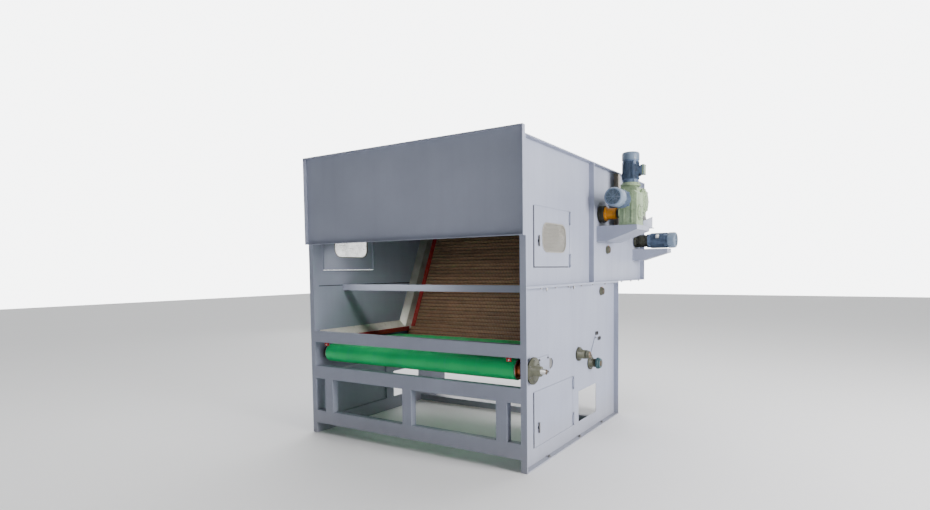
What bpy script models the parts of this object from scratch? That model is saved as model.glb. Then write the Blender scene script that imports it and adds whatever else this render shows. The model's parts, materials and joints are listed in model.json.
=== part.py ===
"""Spiked-lattice hopper feeder, in metres, +Z up.

X runs across the machine, Y from the feed mouth to the back. The origin is the middle of the rear
floor sill's underside. Places along the machine are distances behind the front plane, the plane of
the side panels' front flanges; place() turns such a distance into Y.
"""

import math

import bmesh
import bpy
from mathutils import Matrix, Vector

# Body
HALF_WIDTH = 1.2075  # centre plane to the side panels' flange edges
FLANGE = 0.051  # how far the side panels' flanges stand out from the skin
SHEET = 0.004  # skins, covers and door faces
RIM = 0.010  # thickness of the side panels' flanges
LOWER_DEPTH = 2.164
UPPER_DEPTH = 3.130
SPLIT = 1.435  # where the upper front and upper rear panels meet
SEAM_Z = 1.460  # where the lower and upper bodies meet
PANEL_TOP = 2.637
HOOD_BOTTOM = 1.866
HOOD_TOP = 2.700
HOOD_DEPTH = 0.0435
HOOD_RIM = 0.006
COVER_DEPTH = 0.030  # folded edge of the covers and back panels
BACK_PANEL_BOTTOM = 0.700

# Front frame and cross members
BAR_DEPTH = 0.067
RAIL_Z = (0.103, 0.228)
BEAM_Z = (0.550, 0.672)
LIP_Z = (0.909, 1.012)
POST_WIDTH = 0.100
POST_INSET = 0.1775  # middle of the outer posts to the side walls
CROSSBAR_PLACE = 0.420
CROSSBAR_SIZE = 0.060
CROSSBAR_TOP = 1.466
SILL_PLACE = 1.685
SILL_DEPTH = 0.050
SILL_HEIGHT = 0.068
BAR_WALL = 0.004

# Feed apron
APRON_Z = 0.795
APRON_FRONT = 0.135
APRON_REAR = 1.150
APRON_ROLLER_R = 0.082
APRON_BELT = 0.004
APRON_SIDE_GAP = 0.0905  # from the belt's edges to the side walls
BED_THICKNESS = 0.022
BED_END_GAP = 0.012  # from each roller to the bed
SHAFT_R = 0.022
GUIDE_WALL_Z = 1.020
GUIDE_INNER_Z = 0.925
GUIDE_REACH = 0.0965  # how far the guides stand in from the side walls
GUIDE_LAP = 0.030  # how far the apron guide runs under the lattice guide

# Spiked lattice
LATTICE_FOOT = (1.440, 0.670)  # bottom drum's axis
LATTICE_HEAD_Z = 2.310  # top drum's axis
LATTICE_LEAN = math.radians(23.8)  # from upright, towards the back
DRUM_R = 0.135
LATTICE_BELT = 0.010
SLAT_HEIGHT = 0.018
SLAT_WIDTH = 0.031
SLAT_COUNT = 108
SLAT_DRAFT = 0.003
LATTICE_SIDE_GAP = 0.0525  # from the slats' ends to the side walls
DISC_COUNT = 5
DISC_WIDTH = 0.030
DRUM_SHAFT_R = 0.028
CARRIER_Z = (1.370, 1.800)  # heights of the two carrier shafts on the lattice's centreline
GUIDE_STAND_OFF = ((1.0, 0.135), (0.22, 0.090), (0.0, 0.002))  # share of the strip, distance in front
LATTICE_GUIDE_TOP = 2.280

# Rollers of the upper body
EVENER_PLACE = 1.720
EVENER_Z = 2.155
EVENER_R = 0.100
EVENER_SIDE_GAP = 0.016  # between its ends and the lattice guides
STRIPPER_PLACE = 2.550
STRIPPER_Z = 2.200
STRIPPER_CORE_R = 0.110
STRIPPER_R = 0.190
STRIPPER_FLAPS = 8
DELIVERY_PLACE = 2.900
DELIVERY_Z = 1.925
DELIVERY_CORE_R = 0.050
DELIVERY_R = 0.135
DELIVERY_FLAPS = 4
FLAP_THICKNESS = 0.012
ROLLER_SIDE_GAP = 0.0425  # from the rollers' ends to the side walls
ROLLER_WALL = 0.006
ROLLER_WEB = 0.020  # half thickness of the web inside a hollow roller
SHAFT_END = 0.035  # how far a plain shaft end stands out of the skin

# Doors: opening along the machine and in height, and the latch's place
UPPER_DOOR = ((0.221, 0.950), (1.612, 2.123))
LOWER_DOOR = ((0.203, 1.020), (0.136, 0.605))
WINDOW = ((0.390, 0.862), (1.748, 1.991))
WINDOW_CORNER = 0.085
LEFT_UPPER_DOOR_SHIFT = -0.100  # the left upper door stands nearer the front
DOOR_GAP = 0.005
DOOR_FOLD = 0.020  # depth of the door's folded edge
DOOR_EDGE = 0.003
LATCH_INSET = 0.096  # latch axis behind the door opening's front edge
UPPER_LATCH_Z = 1.836
LOWER_LATCH_Z = 0.293
LATCH_SIZE = (0.014, 0.022, 0.090)
HINGE_R = 0.008
HINGE_STAND = 0.010  # hinge axis outside the skin
HINGE_LENGTH = 0.070
HINGE_INSET = 0.060
GLASS = 0.0025

# Side openings and bearings
PORT = ((1.153, 1.614), (0.140, 0.434))
SLOT_END = 0.585
SLOT_HALF = 0.045
TAKE_UP_PLATE = ((0.040, 0.495), 0.080)
BEARING_PLATE = 0.008
TAKE_UP_DISC_R = 0.110
TAKE_UP_DISC = (0.034, 0.048)  # distances outside the skin
TAKE_UP_NECK_R = 0.070
TAKE_UP_REACH = 0.110
BEARING_HUB_R = 0.042
FLANGE_BEARING_R = 0.066
FLANGE_BEARING = 0.018
FLANGE_BEARING_REACH = 0.075
BEARING_SHAFT_END = 0.045  # how far the shaft stands out of its bearing

# Outlet
OUTLET_MARGIN = 0.080
SHIELD_PLACE = 2.200
SHIELD_TOP = 1.880

# Drives on the right-hand wall
SHELF = (1.630, 2.235)
SHELF_BOX_DEPTH = 0.430  # the closed part under the shelf
SHELF_TOP = 2.030
SHELF_REACH = 0.4135
SHELF_DROP = 0.154
SHELF_TIP = 0.046
SHELF_LEVEL = 0.110  # level part of the gusset's lower edge
SHELF_PLATE = 0.008
BRACKET = (2.813, 2.987)
BRACKET_TOP = 1.828
BRACKET_REACH = 0.4085
BRACKET_DROP = 0.135
EVENER_BOX_X = (0.225, 0.405)  # distances outside the skin
EVENER_BOX_PLACE = (1.645, 1.865)
EVENER_BOX_HEIGHT = 0.340
COUPLING_HUB_R = 0.085
COUPLING_HUB_WIDTH = 0.060
COUPLING_SLEEVE_R = 0.055
EVENER_MOTOR_X = 0.270
EVENER_MOTOR_Z = 2.280
EVENER_MOTOR_LENGTH = 0.300
MOTOR_R = 0.092
LATTICE_BOX_X = (0.125, 0.311)
LATTICE_BOX_PLACE = (1.950, 2.235)
LATTICE_BOX_HEIGHT = 0.430
LATTICE_COVER_R = 0.135
LATTICE_COVER_DEPTH = 0.045
LATTICE_MOTOR_X = 0.217
LATTICE_MOTOR_PLACE = 2.050
LATTICE_MOTOR_HEIGHT = 0.316
MOTOR_FOOT_R = 0.105
MOTOR_FOOT = 0.035
TERMINAL_BOX = (0.060, 0.080, 0.110)
DELIVERY_UNIT_R = 0.075
DELIVERY_UNIT_LENGTH = 0.160
MOTOR_STAND = 0.010  # the delivery unit's flange outside the skin
DELIVERY_MOTOR_END = 0.490
CASTING_WALL = 0.020
FOOT_HEIGHT = 0.018
PEDESTAL_HEIGHT = 0.130
CHAIN_COVER_MARGIN = 0.085
CHAIN_COVER_DEPTH = 0.070

# Details of castings and motors
CASTING_CHAMFER = 0.030
COVER_BEVEL = 0.015
MOTOR_BODY_R = 0.085
MOTOR_FLANGE_R = 0.074
MOTOR_END_R = 0.072
MOTOR_FLANGE_STEP = 0.020
COWL_SHARE = 0.26  # share of a motor's length under its fan cowl
COWL_BEVEL = 0.018
TERMINAL_BOX_STAND = 0.070  # from the motor's flange to its terminal box
HINGE_WEB = 0.012
ROLLER_LAP = 0.008  # how far an apron roller runs past the belt's edge

# Build settings
CLEAR = 0.0003  # between pieces that touch
CUT_MARGIN = 0.020  # how far a cutter runs past what it cuts
SHARP_ANGLE = math.radians(35)
RUN = 0.0015  # between a belt and its drums
ROUND = 24  # sides of a round piece
HOLE_SIDES = 16  # sides of shaft holes and of the lattice drums
FINE_ROUND = 32  # sides of the feed belt's bends

SKIN_X = HALF_WIDTH - FLANGE
INNER_X = SKIN_X - SHEET
SPAN = INNER_X - CLEAR  # half length of a piece that spans between the walls
POST_X = INNER_X - POST_INSET
APRON_HALF_WIDTH = INNER_X - APRON_SIDE_GAP
GUIDE_INNER_X = INNER_X - GUIDE_REACH
LATTICE_HALF_WIDTH = INNER_X - LATTICE_SIDE_GAP
ROLLER_HALF = INNER_X - ROLLER_SIDE_GAP
LATTICE_DIRECTION = Vector((math.sin(LATTICE_LEAN), math.cos(LATTICE_LEAN)))
LATTICE_NORMAL = Vector((-math.cos(LATTICE_LEAN), math.sin(LATTICE_LEAN)))
LATTICE_HALF_PITCH_ANGLE = SLAT_WIDTH / DRUM_R / 2
LATTICE_INNER_R = (DRUM_R + RUN) / math.cos(LATTICE_HALF_PITCH_ANGLE)
LATTICE_FACE = LATTICE_INNER_R + LATTICE_BELT + SLAT_HEIGHT
HOLE_R = (SHAFT_R + CLEAR) / math.cos(math.pi / HOLE_SIDES)
DRUM_HOLE_R = (DRUM_SHAFT_R + CLEAR) / math.cos(math.pi / HOLE_SIDES)


def place(distance):
    """Y of a place behind the front plane."""
    return distance - SILL_PLACE


def lattice_centre(z):
    """Distance behind the front plane of the lattice's centreline at a height."""
    return LATTICE_FOOT[0] + (z - LATTICE_FOOT[1]) * math.tan(LATTICE_LEAN)


def lattice_front(z):
    """Distance behind the front plane of the lattice's slat faces at a height."""
    return lattice_centre(z) - LATTICE_FACE / math.cos(LATTICE_LEAN)


def paint(name, colour, roughness, metallic=0.0):
    material = bpy.data.materials.new(name)
    material.use_nodes = True
    shader = material.node_tree.nodes["Principled BSDF"]
    shader.inputs["Base Color"].default_value = (*colour, 1.0)
    shader.inputs["Roughness"].default_value = roughness
    shader.inputs["Metallic"].default_value = metallic
    return material


def finish(name, bm, material, origin=(0.0, 0.0, 0.0), smooth=False, parent=None):
    """Makes an object of a bmesh in world coordinates, with its origin where it is told."""
    bmesh.ops.recalc_face_normals(bm, faces=bm.faces)
    bmesh.ops.translate(bm, vec=-Vector(origin), verts=bm.verts)
    mesh = bpy.data.meshes.new(name)
    bm.to_mesh(mesh)
    bm.free()
    if smooth:
        mesh.shade_smooth()
        mesh.set_sharp_from_angle(angle=SHARP_ANGLE)
    mesh.materials.append(material)
    piece = bpy.data.objects.new(name, mesh)
    bpy.context.scene.collection.objects.link(piece)
    piece.location = origin
    if parent:
        piece.parent = parent
        piece.location = Vector(origin) - parent.location
    return piece


def tool(name, bm):
    """Makes a hidden cutter or filler for a Boolean."""
    bmesh.ops.recalc_face_normals(bm, faces=bm.faces)
    mesh = bpy.data.meshes.new(name)
    bm.to_mesh(mesh)
    bm.free()
    piece = bpy.data.objects.new(name, mesh)
    bpy.context.scene.collection.objects.link(piece)
    piece.hide_render = True
    piece.display_type = "WIRE"
    return piece


def combine(piece, shapes, operation):
    """Cuts shapes out of a piece, or joins them to it. Tools are relative to the world."""
    for number, bm in enumerate(shapes):
        label = f"{piece.name}_{operation.lower()}_{number}"
        modifier = piece.modifiers.new(label, "BOOLEAN")
        modifier.operation = operation
        modifier.solver = "EXACT"
        modifier.object = tool(label, bm)
    return piece


def cut(piece, *shapes):
    return combine(piece, shapes, "DIFFERENCE")


def join(piece, *shapes):
    return combine(piece, shapes, "UNION")


def block(x, distance, z):
    """Box between two X values, two distances behind the front plane and two heights."""
    bm = bmesh.new()
    bmesh.ops.create_cube(bm, size=1.0)
    low = Vector((min(x), place(min(distance)), min(z)))
    high = Vector((max(x), place(max(distance)), max(z)))
    bmesh.ops.scale(bm, vec=high - low, verts=bm.verts)
    bmesh.ops.translate(bm, vec=(low + high) / 2, verts=bm.verts)
    return bm


def tray(x, distance, z, direction, skin, rim):
    """Box with a pocket in the side that faces a direction, leaving a skin and a rim."""
    bm = block(x, distance, z)
    bm.normal_update()
    direction = Vector(direction)
    mouth = max(bm.faces, key=lambda face: face.normal.dot(direction))
    size = (max(x) - min(x), max(distance) - min(distance), max(z) - min(z))
    depth = sum(abs(a * b) for a, b in zip(direction, size)) - skin
    bmesh.ops.inset_region(bm, faces=[mouth], thickness=rim, use_even_offset=True)
    pocket = bmesh.ops.extrude_discrete_faces(bm, faces=[mouth])["faces"][0]
    bmesh.ops.translate(bm, vec=-direction * depth, verts=pocket.verts)
    return bm


def hull_of_rings(rings, closed=False):
    """Skin over rings of points, capped at both ends, or closed on itself."""
    bm = bmesh.new()
    loops = [[bm.verts.new(point) for point in ring] for ring in rings]
    pairs = list(zip(loops, loops[1:]))
    if closed:
        pairs.append((loops[-1], loops[0]))
    else:
        bm.faces.new(loops[0])
        bm.faces.new(reversed(loops[-1]))
    for first, second in pairs:
        for i in range(len(first)):
            j = (i + 1) % len(first)
            bm.faces.new((first[i], first[j], second[j], second[i]))
    return bm


def circle(radius, sides=ROUND, phase=0.0):
    """Corner points of a regular polygon about the origin."""
    turn = 2 * math.pi / sides
    return [(radius * math.cos(phase + turn * i), radius * math.sin(phase + turn * i)) for i in range(sides)]


def turned(profile, distance, z, sides=ROUND):
    """Piece turned about an X axis, from (x, radius) points that run from one end to the other."""
    rings = []
    for x, radius in profile:
        rings.append([(x, place(distance) + a, z + b) for a, b in circle(radius, sides)])
    return hull_of_rings(rings)


def turned_upright(profile, x, distance, sides=ROUND):
    """Piece turned about a Z axis, from (z, radius) points."""
    rings = []
    for z, radius in profile:
        rings.append([(x + a, place(distance) + b, z) for a, b in circle(radius, sides)])
    return hull_of_rings(rings)


def turned_lengthwise(profile, x, z, sides=ROUND):
    """Piece turned about a Y axis, from (distance, radius) points."""
    rings = []
    for distance, radius in profile:
        rings.append([(x + a, place(distance), z + b) for a, b in circle(radius, sides)])
    return hull_of_rings(rings)


def across(outline, x):
    """Prism along X of an outline of (distance, z) points."""
    return hull_of_rings([[(side, place(d), z) for d, z in outline] for side in x])


def along(outline, distance):
    """Prism along Y of an outline of (x, z) points."""
    return hull_of_rings([[(x, place(end), z) for x, z in outline] for end in distance])


def rounded(first, second, radius, corner_sides=6):
    """Outline of a rectangle with round corners, between two values on each axis."""
    points = []
    corners = (
        (max(first), max(second), 0.0),
        (min(first), max(second), 90.0),
        (min(first), min(second), 180.0),
        (max(first), min(second), 270.0),
    )
    middle = ((min(first) + max(first)) / 2, (min(second) + max(second)) / 2)
    for a, b, start in corners:
        centre_a = a - math.copysign(radius, a - middle[0])
        centre_b = b - math.copysign(radius, b - middle[1])
        for step in range(corner_sides + 1):
            angle = math.radians(start + 90.0 * step / corner_sides)
            points.append((centre_a + radius * math.cos(angle), centre_b + radius * math.sin(angle)))
    return points


def grown(limits, margin):
    return (min(limits) - margin, max(limits) + margin)


def side_hole(side, distance, z, radius):
    """Cutter for a round hole through a side wall."""
    reach = (side * (INNER_X - CUT_MARGIN), side * (HALF_WIDTH + CUT_MARGIN))
    return turned([(reach[0], radius), (reach[1], radius)], distance, z, HOLE_SIDES)


def side_cut(side, outline):
    """Cutter through a side wall's skin."""
    return across(outline, (side * (INNER_X - CUT_MARGIN), side * (HALF_WIDTH + CUT_MARGIN)))


def rectangle(distance, z):
    return [(distance[0], z[0]), (distance[1], z[0]), (distance[1], z[1]), (distance[0], z[1])]


def upper_door_place(side, limits):
    """Distances behind the front plane of an upper door's feature, on its own side of the machine."""
    shift = LEFT_UPPER_DOOR_SHIFT if side < 0 else 0.0
    return (limits[0] + shift, limits[1] + shift)


# Frame and panels


def side_panel(name, side, distance, z, holes):
    panel = tray((side * INNER_X, side * HALF_WIDTH), distance, z, (side, 0, 0), SHEET, RIM)
    return cut(finish(name, panel, STEEL_PAINT), *holes)


def take_up_slot(side):
    """Cutter for the slot along which the front apron shaft is set, with round ends."""
    end_r = SLOT_HALF - CLEAR
    outline = rounded((APRON_FRONT - SLOT_HALF, SLOT_END), grown((APRON_Z, APRON_Z), SLOT_HALF), end_r)
    return side_cut(side, outline)


def side_panels():
    for side, label in ((1, "right"), (-1, "left")):
        side_panel(
            f"lower_side_panel_{label}",
            side,
            (0.0, LOWER_DEPTH),
            (0.0, SEAM_Z),
            [
                side_cut(side, rectangle(*LOWER_DOOR)),
                side_cut(side, rectangle(*PORT)),
                take_up_slot(side),
                side_hole(side, APRON_REAR, APRON_Z, HOLE_R),
                side_hole(side, *LATTICE_FOOT, DRUM_HOLE_R),
                side_hole(side, lattice_centre(CARRIER_Z[0]), CARRIER_Z[0], DRUM_HOLE_R),
            ],
        )
        side_panel(
            f"upper_front_panel_{label}",
            side,
            (0.0, SPLIT - CLEAR),
            (SEAM_Z + CLEAR, PANEL_TOP),
            [side_cut(side, rectangle(upper_door_place(side, UPPER_DOOR[0]), UPPER_DOOR[1]))],
        )
        side_panel(
            f"upper_rear_panel_{label}",
            side,
            (SPLIT, UPPER_DEPTH),
            (SEAM_Z + CLEAR, PANEL_TOP),
            [
                side_hole(side, lattice_centre(CARRIER_Z[1]), CARRIER_Z[1], DRUM_HOLE_R),
                side_hole(side, lattice_centre(LATTICE_HEAD_Z), LATTICE_HEAD_Z, DRUM_HOLE_R),
                side_hole(side, EVENER_PLACE, EVENER_Z, HOLE_R),
                side_hole(side, STRIPPER_PLACE, STRIPPER_Z, HOLE_R),
                side_hole(side, DELIVERY_PLACE, DELIVERY_Z, HOLE_R),
            ],
        )


def covers():
    across_walls = (-SPAN, SPAN)
    hood = tray(
        (-HALF_WIDTH, HALF_WIDTH), (-HOOD_DEPTH, -CLEAR), (HOOD_BOTTOM, HOOD_TOP), (0, -1, 0), SHEET, HOOD_RIM
    )
    finish("front_hood", hood, STEEL_PAINT)
    top = (PANEL_TOP - COVER_DEPTH, PANEL_TOP)
    for name, limits in (
        ("top_cover_front", (0.0, SPLIT - CLEAR)),
        ("top_cover_rear", (SPLIT, UPPER_DEPTH - COVER_DEPTH - CLEAR)),
    ):
        finish(name, tray(across_walls, limits, top, (0, 0, -1), SHEET, SHEET), STEEL_PAINT)
    for name, back, z in (
        ("lower_back_panel", LOWER_DEPTH, (BACK_PANEL_BOTTOM, SEAM_Z)),
        ("upper_back_panel", UPPER_DEPTH, (SEAM_Z + CLEAR, PANEL_TOP)),
    ):
        panel = tray(across_walls, (back - COVER_DEPTH, back), z, (0, -1, 0), SHEET, SHEET)
        finish(name, panel, STEEL_PAINT)
    floor_limits = (LOWER_DEPTH + CLEAR, UPPER_DEPTH - COVER_DEPTH - CLEAR)
    outlet = block(across_walls, floor_limits, (SEAM_Z + CLEAR, SEAM_Z + COVER_DEPTH))
    mouth = block(
        grown(across_walls, -OUTLET_MARGIN),
        grown(floor_limits, -OUTLET_MARGIN),
        (SEAM_Z - COVER_DEPTH, SEAM_Z + 2 * COVER_DEPTH),
    )
    cut(finish("outlet_frame", outlet, STEEL_PAINT), mouth)
    shield = tray(
        across_walls,
        (SHIELD_PLACE, SHIELD_PLACE + COVER_DEPTH),
        (SEAM_Z + COVER_DEPTH + CLEAR, SHIELD_TOP),
        (0, 1, 0),
        SHEET,
        SHEET,
    )
    finish("lattice_back_shield", shield, STEEL_PAINT)


def hollow_bar(name, distance, z):
    """Rectangular tube between the side walls."""
    outer = rectangle(distance, z)
    inner = rectangle(grown(distance, -BAR_WALL), grown(z, -BAR_WALL))
    return finish(name, belt_body(outer, inner, SPAN), STEEL_PAINT)


def frame_bars():
    depth = (0.0, BAR_DEPTH)
    for name, z in (("base_rail", RAIL_Z), ("base_beam", BEAM_Z), ("feed_lip_beam", LIP_Z)):
        hollow_bar(name, depth, z)
    post_z = (RAIL_Z[1] + CLEAR, BEAM_Z[0] - CLEAR)
    for name, x in (("left", -POST_X), ("centre", 0.0), ("right", POST_X)):
        finish(f"base_post_{name}", block(grown((x, x), POST_WIDTH / 2), depth, post_z), STEEL_PAINT)
    crossbar_depth = grown((CROSSBAR_PLACE, CROSSBAR_PLACE), CROSSBAR_SIZE / 2)
    hollow_bar("hopper_crossbar", crossbar_depth, (CROSSBAR_TOP - CROSSBAR_SIZE, CROSSBAR_TOP))
    sill_depth = grown((SILL_PLACE, SILL_PLACE), SILL_DEPTH / 2)
    hollow_bar("rear_floor_sill", sill_depth, (0.0, SILL_HEIGHT))


# Feed apron


def hollow_roller(half, radius, shaft_r, ends):
    """Profile of a tube on a shaft with one web in the middle, open at both ends."""
    bore = radius - ROLLER_WALL
    return [
        (ends[0], shaft_r),
        (-ROLLER_WEB, shaft_r),
        (-ROLLER_WEB, bore),
        (-half, bore),
        (-half, radius),
        (half, radius),
        (half, bore),
        (ROLLER_WEB, bore),
        (ROLLER_WEB, shaft_r),
        (ends[1], shaft_r),
    ]


def loop_points(first, second, radius, sides):
    """Points of a belt's stadium outline about two axes, as (distance, z)."""
    first = Vector(first)
    run = (Vector(second) - first).normalized()
    normal = Vector((-run.y, run.x))
    points = []
    for centre, turn in ((Vector(second), 0.0), (first, math.pi)):
        for step in range(sides + 1):
            angle = turn + math.pi * step / sides
            points.append(centre + normal * radius * math.cos(angle) + run * radius * math.sin(angle))
    return points


def belt_body(outer, inner, half):
    """Closed band between two outlines of the same number of (distance, z) points."""
    rings = []
    for (outer_d, outer_z), (inner_d, inner_z) in zip(outer, inner):
        rings.append(
            [
                (-half, place(outer_d), outer_z),
                (half, place(outer_d), outer_z),
                (half, place(inner_d), inner_z),
                (-half, place(inner_d), inner_z),
            ]
        )
    return hull_of_rings(rings, closed=True)


def feed_apron():
    front = (APRON_FRONT, APRON_Z)
    rear = (APRON_REAR, APRON_Z)
    arc_sides = FINE_ROUND // 2
    inner_r = (APRON_ROLLER_R + CLEAR) / math.cos(math.pi / 2 / arc_sides)
    inner = loop_points(front, rear, inner_r, arc_sides)
    outer = loop_points(front, rear, inner_r + APRON_BELT, arc_sides)
    finish("feed_belt", belt_body(outer, inner, APRON_HALF_WIDTH), GREEN_BELT, smooth=True)
    roller_half = APRON_HALF_WIDTH + ROLLER_LAP
    shaft_end = SKIN_X + TAKE_UP_REACH + BEARING_SHAFT_END
    plain = hollow_roller(roller_half, APRON_ROLLER_R, SHAFT_R, (-shaft_end, shaft_end))
    finish(
        "apron_front_roller",
        turned(plain, *front),
        STEEL,
        (0.0, place(APRON_FRONT), APRON_Z),
        True,
    )
    drive_end = SKIN_X + FLANGE_BEARING_REACH + BEARING_SHAFT_END
    driven = hollow_roller(roller_half, APRON_ROLLER_R, SHAFT_R, (-SKIN_X - SHAFT_END, drive_end))
    finish(
        "apron_drive_roller",
        turned(driven, *rear),
        STEEL,
        (0.0, place(APRON_REAR), APRON_Z),
        True,
    )
    bed_top = APRON_Z + inner_r * math.cos(math.pi / 2 / arc_sides) - RUN
    bed_end = APRON_ROLLER_R + BED_END_GAP
    bed = tray(
        (-SPAN, SPAN),
        (APRON_FRONT + bed_end, APRON_REAR - bed_end),
        (bed_top - BED_THICKNESS, bed_top),
        (0, 0, -1),
        SHEET,
        SHEET,
    )
    finish("apron_bed", bed, STEEL_PAINT)


def take_up_bearings():
    """Flanged bearings of the front apron shaft, on the plates that cover the take-up slots."""
    plate_z = grown((APRON_Z, APRON_Z), TAKE_UP_PLATE[1])
    face = SKIN_X + CLEAR
    for side, label in ((1, "right"), (-1, "left")):
        plate_x = (side * face, side * (face + BEARING_PLATE))
        bearing = finish(f"take_up_bearing_{label}", block(plate_x, TAKE_UP_PLATE[0], plate_z), CAST_IRON)
        boss = turned(
            [
                (side * (face + BEARING_PLATE / 2), TAKE_UP_NECK_R),
                (side * (SKIN_X + TAKE_UP_DISC[0]), TAKE_UP_NECK_R),
                (side * (SKIN_X + TAKE_UP_DISC[0]), TAKE_UP_DISC_R),
                (side * (SKIN_X + TAKE_UP_DISC[1]), TAKE_UP_DISC_R),
                (side * (SKIN_X + TAKE_UP_DISC[1]), BEARING_HUB_R),
                (side * (SKIN_X + TAKE_UP_REACH), BEARING_HUB_R),
            ],
            APRON_FRONT,
            APRON_Z,
        )
        join(bearing, boss)
        bore = (side * (SKIN_X - SHEET), side * (SKIN_X + TAKE_UP_REACH + SHEET))
        cut(bearing, turned([(bore[0], HOLE_R), (bore[1], HOLE_R)], APRON_FRONT, APRON_Z, HOLE_SIDES))


def flange_bearing(name, distance, z, bore_r):
    """Round flanged bearing on the right wall's skin."""
    face = SKIN_X + CLEAR
    reach = SKIN_X + FLANGE_BEARING_REACH
    housing = turned(
        [
            (face, FLANGE_BEARING_R),
            (face + FLANGE_BEARING, FLANGE_BEARING_R),
            (face + FLANGE_BEARING, BEARING_HUB_R),
            (reach, BEARING_HUB_R),
        ],
        distance,
        z,
    )
    bearing = finish(name, housing, CAST_IRON, smooth=True)
    cut(bearing, turned([(SKIN_X - SHEET, bore_r), (reach + SHEET, bore_r)], distance, z, HOLE_SIDES))


def strip_share(x):
    """0 at a guide strip's inner edge, 1 at the wall."""
    return (abs(x) - GUIDE_INNER_X) / (SPAN - GUIDE_INNER_X)


def guide_height(x):
    return GUIDE_INNER_Z + strip_share(x) * (GUIDE_WALL_Z - GUIDE_INNER_Z)


def stand_off(x):
    """How far a lattice guide stands in front of the slats, by its place across the strip."""
    share = strip_share(x)
    for (high, far), (low, near) in zip(GUIDE_STAND_OFF, GUIDE_STAND_OFF[1:]):
        if share >= low:
            return near + (share - low) / (high - low) * (far - near)
    return GUIDE_STAND_OFF[-1][1]


def guides():
    bend_x = GUIDE_INNER_X + GUIDE_STAND_OFF[1][0] * (SPAN - GUIDE_INNER_X)
    for side, label in ((1, "right"), (-1, "left")):
        edges = (GUIDE_INNER_X, SPAN)
        top = [(x, guide_height(x)) for x in edges]
        bottom = [(x, guide_height(x) - SHEET) for x in reversed(edges)]
        rings = [[(side * x, place(BAR_DEPTH + CLEAR), z) for x, z in top + bottom]]
        rings.append(
            [
                (side * x, place(lattice_front(z) - stand_off(x) + GUIDE_LAP * strip_share(x)), z)
                for x, z in top + bottom
            ]
        )
        finish(f"apron_guide_{label}", hull_of_rings(rings), GUIDE_STEEL)
        front = [(x, stand_off(x)) for x in (GUIDE_INNER_X, bend_x, SPAN)]
        rear = [(x, gap - SHEET) for x, gap in reversed(front[1:])] + [(GUIDE_INNER_X + SHEET, front[0][1])]
        rings = []
        for level in ("foot", "head"):
            ring = []
            for x, gap in front + rear:
                z = guide_height(x) + RUN if level == "foot" else LATTICE_GUIDE_TOP
                ring.append((side * x, place(lattice_front(z) - gap), z))
            rings.append(ring)
        finish(f"lattice_guide_{label}", hull_of_rings(rings), GUIDE_STEEL)


# Spiked lattice


def lattice_outlines():
    """Outer outline with slats, and the inner outline under it, both of (distance, z) points."""
    foot = Vector(LATTICE_FOOT)
    head = Vector((lattice_centre(LATTICE_HEAD_Z), LATTICE_HEAD_Z))
    run = (head - foot).length
    arc = math.pi * LATTICE_INNER_R
    pitch = 2 * (run + arc) / SLAT_COUNT

    def point(travel, height):
        """Point at a distance along the loop, from the foot of the front run up and round."""
        travel %= 2 * (run + arc)
        if travel < run:
            return foot + LATTICE_DIRECTION * travel + LATTICE_NORMAL * (LATTICE_INNER_R + height)
        travel -= run
        if travel < arc:
            angle = travel / LATTICE_INNER_R
            spoke = LATTICE_NORMAL * math.cos(angle) + LATTICE_DIRECTION * math.sin(angle)
            return head + spoke * (LATTICE_INNER_R + height)
        travel -= arc
        if travel < run:
            return head - LATTICE_DIRECTION * travel - LATTICE_NORMAL * (LATTICE_INNER_R + height)
        angle = (travel - run) / LATTICE_INNER_R
        spoke = -LATTICE_NORMAL * math.cos(angle) - LATTICE_DIRECTION * math.sin(angle)
        return foot + spoke * (LATTICE_INNER_R + height)

    outer = []
    inner = []
    for slat in range(SLAT_COUNT):
        start = slat * pitch
        steps = (
            (start, LATTICE_BELT),
            (start + SLAT_DRAFT, LATTICE_BELT + SLAT_HEIGHT),
            (start + SLAT_WIDTH, LATTICE_BELT + SLAT_HEIGHT),
            (start + SLAT_WIDTH + SLAT_DRAFT, LATTICE_BELT),
        )
        for travel, height in steps:
            outer.append(point(travel, height))
            inner.append(point(travel, 0.0))
    return outer, inner


def disc_shaft(ends):
    """Profile of a shaft that carries a row of discs."""
    points = [(ends[0], DRUM_SHAFT_R)]
    for number in range(DISC_COUNT):
        span = 2 * (LATTICE_HALF_WIDTH - DISC_WIDTH) / (DISC_COUNT - 1)
        middle = -LATTICE_HALF_WIDTH + DISC_WIDTH + number * span
        for x, radius in (
            (middle - DISC_WIDTH / 2, DRUM_SHAFT_R),
            (middle - DISC_WIDTH / 2, DRUM_R),
            (middle + DISC_WIDTH / 2, DRUM_R),
            (middle + DISC_WIDTH / 2, DRUM_SHAFT_R),
        ):
            points.append((x, radius))
    points.append((ends[1], DRUM_SHAFT_R))
    return points


def spiked_lattice():
    outer, inner = lattice_outlines()
    finish("spiked_lattice", belt_body(outer, inner, LATTICE_HALF_WIDTH), SLAT_WOOD)
    plain_end = SKIN_X + SHAFT_END
    foot_end = SKIN_X + FLANGE_BEARING_REACH + BEARING_SHAFT_END
    box_face = SKIN_X + LATTICE_BOX_X[0] - RUN
    for name, z, reach in (
        ("lattice_bottom_drum", LATTICE_FOOT[1], foot_end),
        ("lattice_lower_carrier", CARRIER_Z[0], plain_end),
        ("lattice_upper_carrier", CARRIER_Z[1], plain_end),
        ("lattice_top_drum", LATTICE_HEAD_Z, box_face),
    ):
        axis = (lattice_centre(z), z)
        drum = turned(disc_shaft((-plain_end, reach)), *axis, HOLE_SIDES)
        finish(name, drum, STEEL, (0.0, place(axis[0]), z), True)


# Rollers of the upper body


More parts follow.
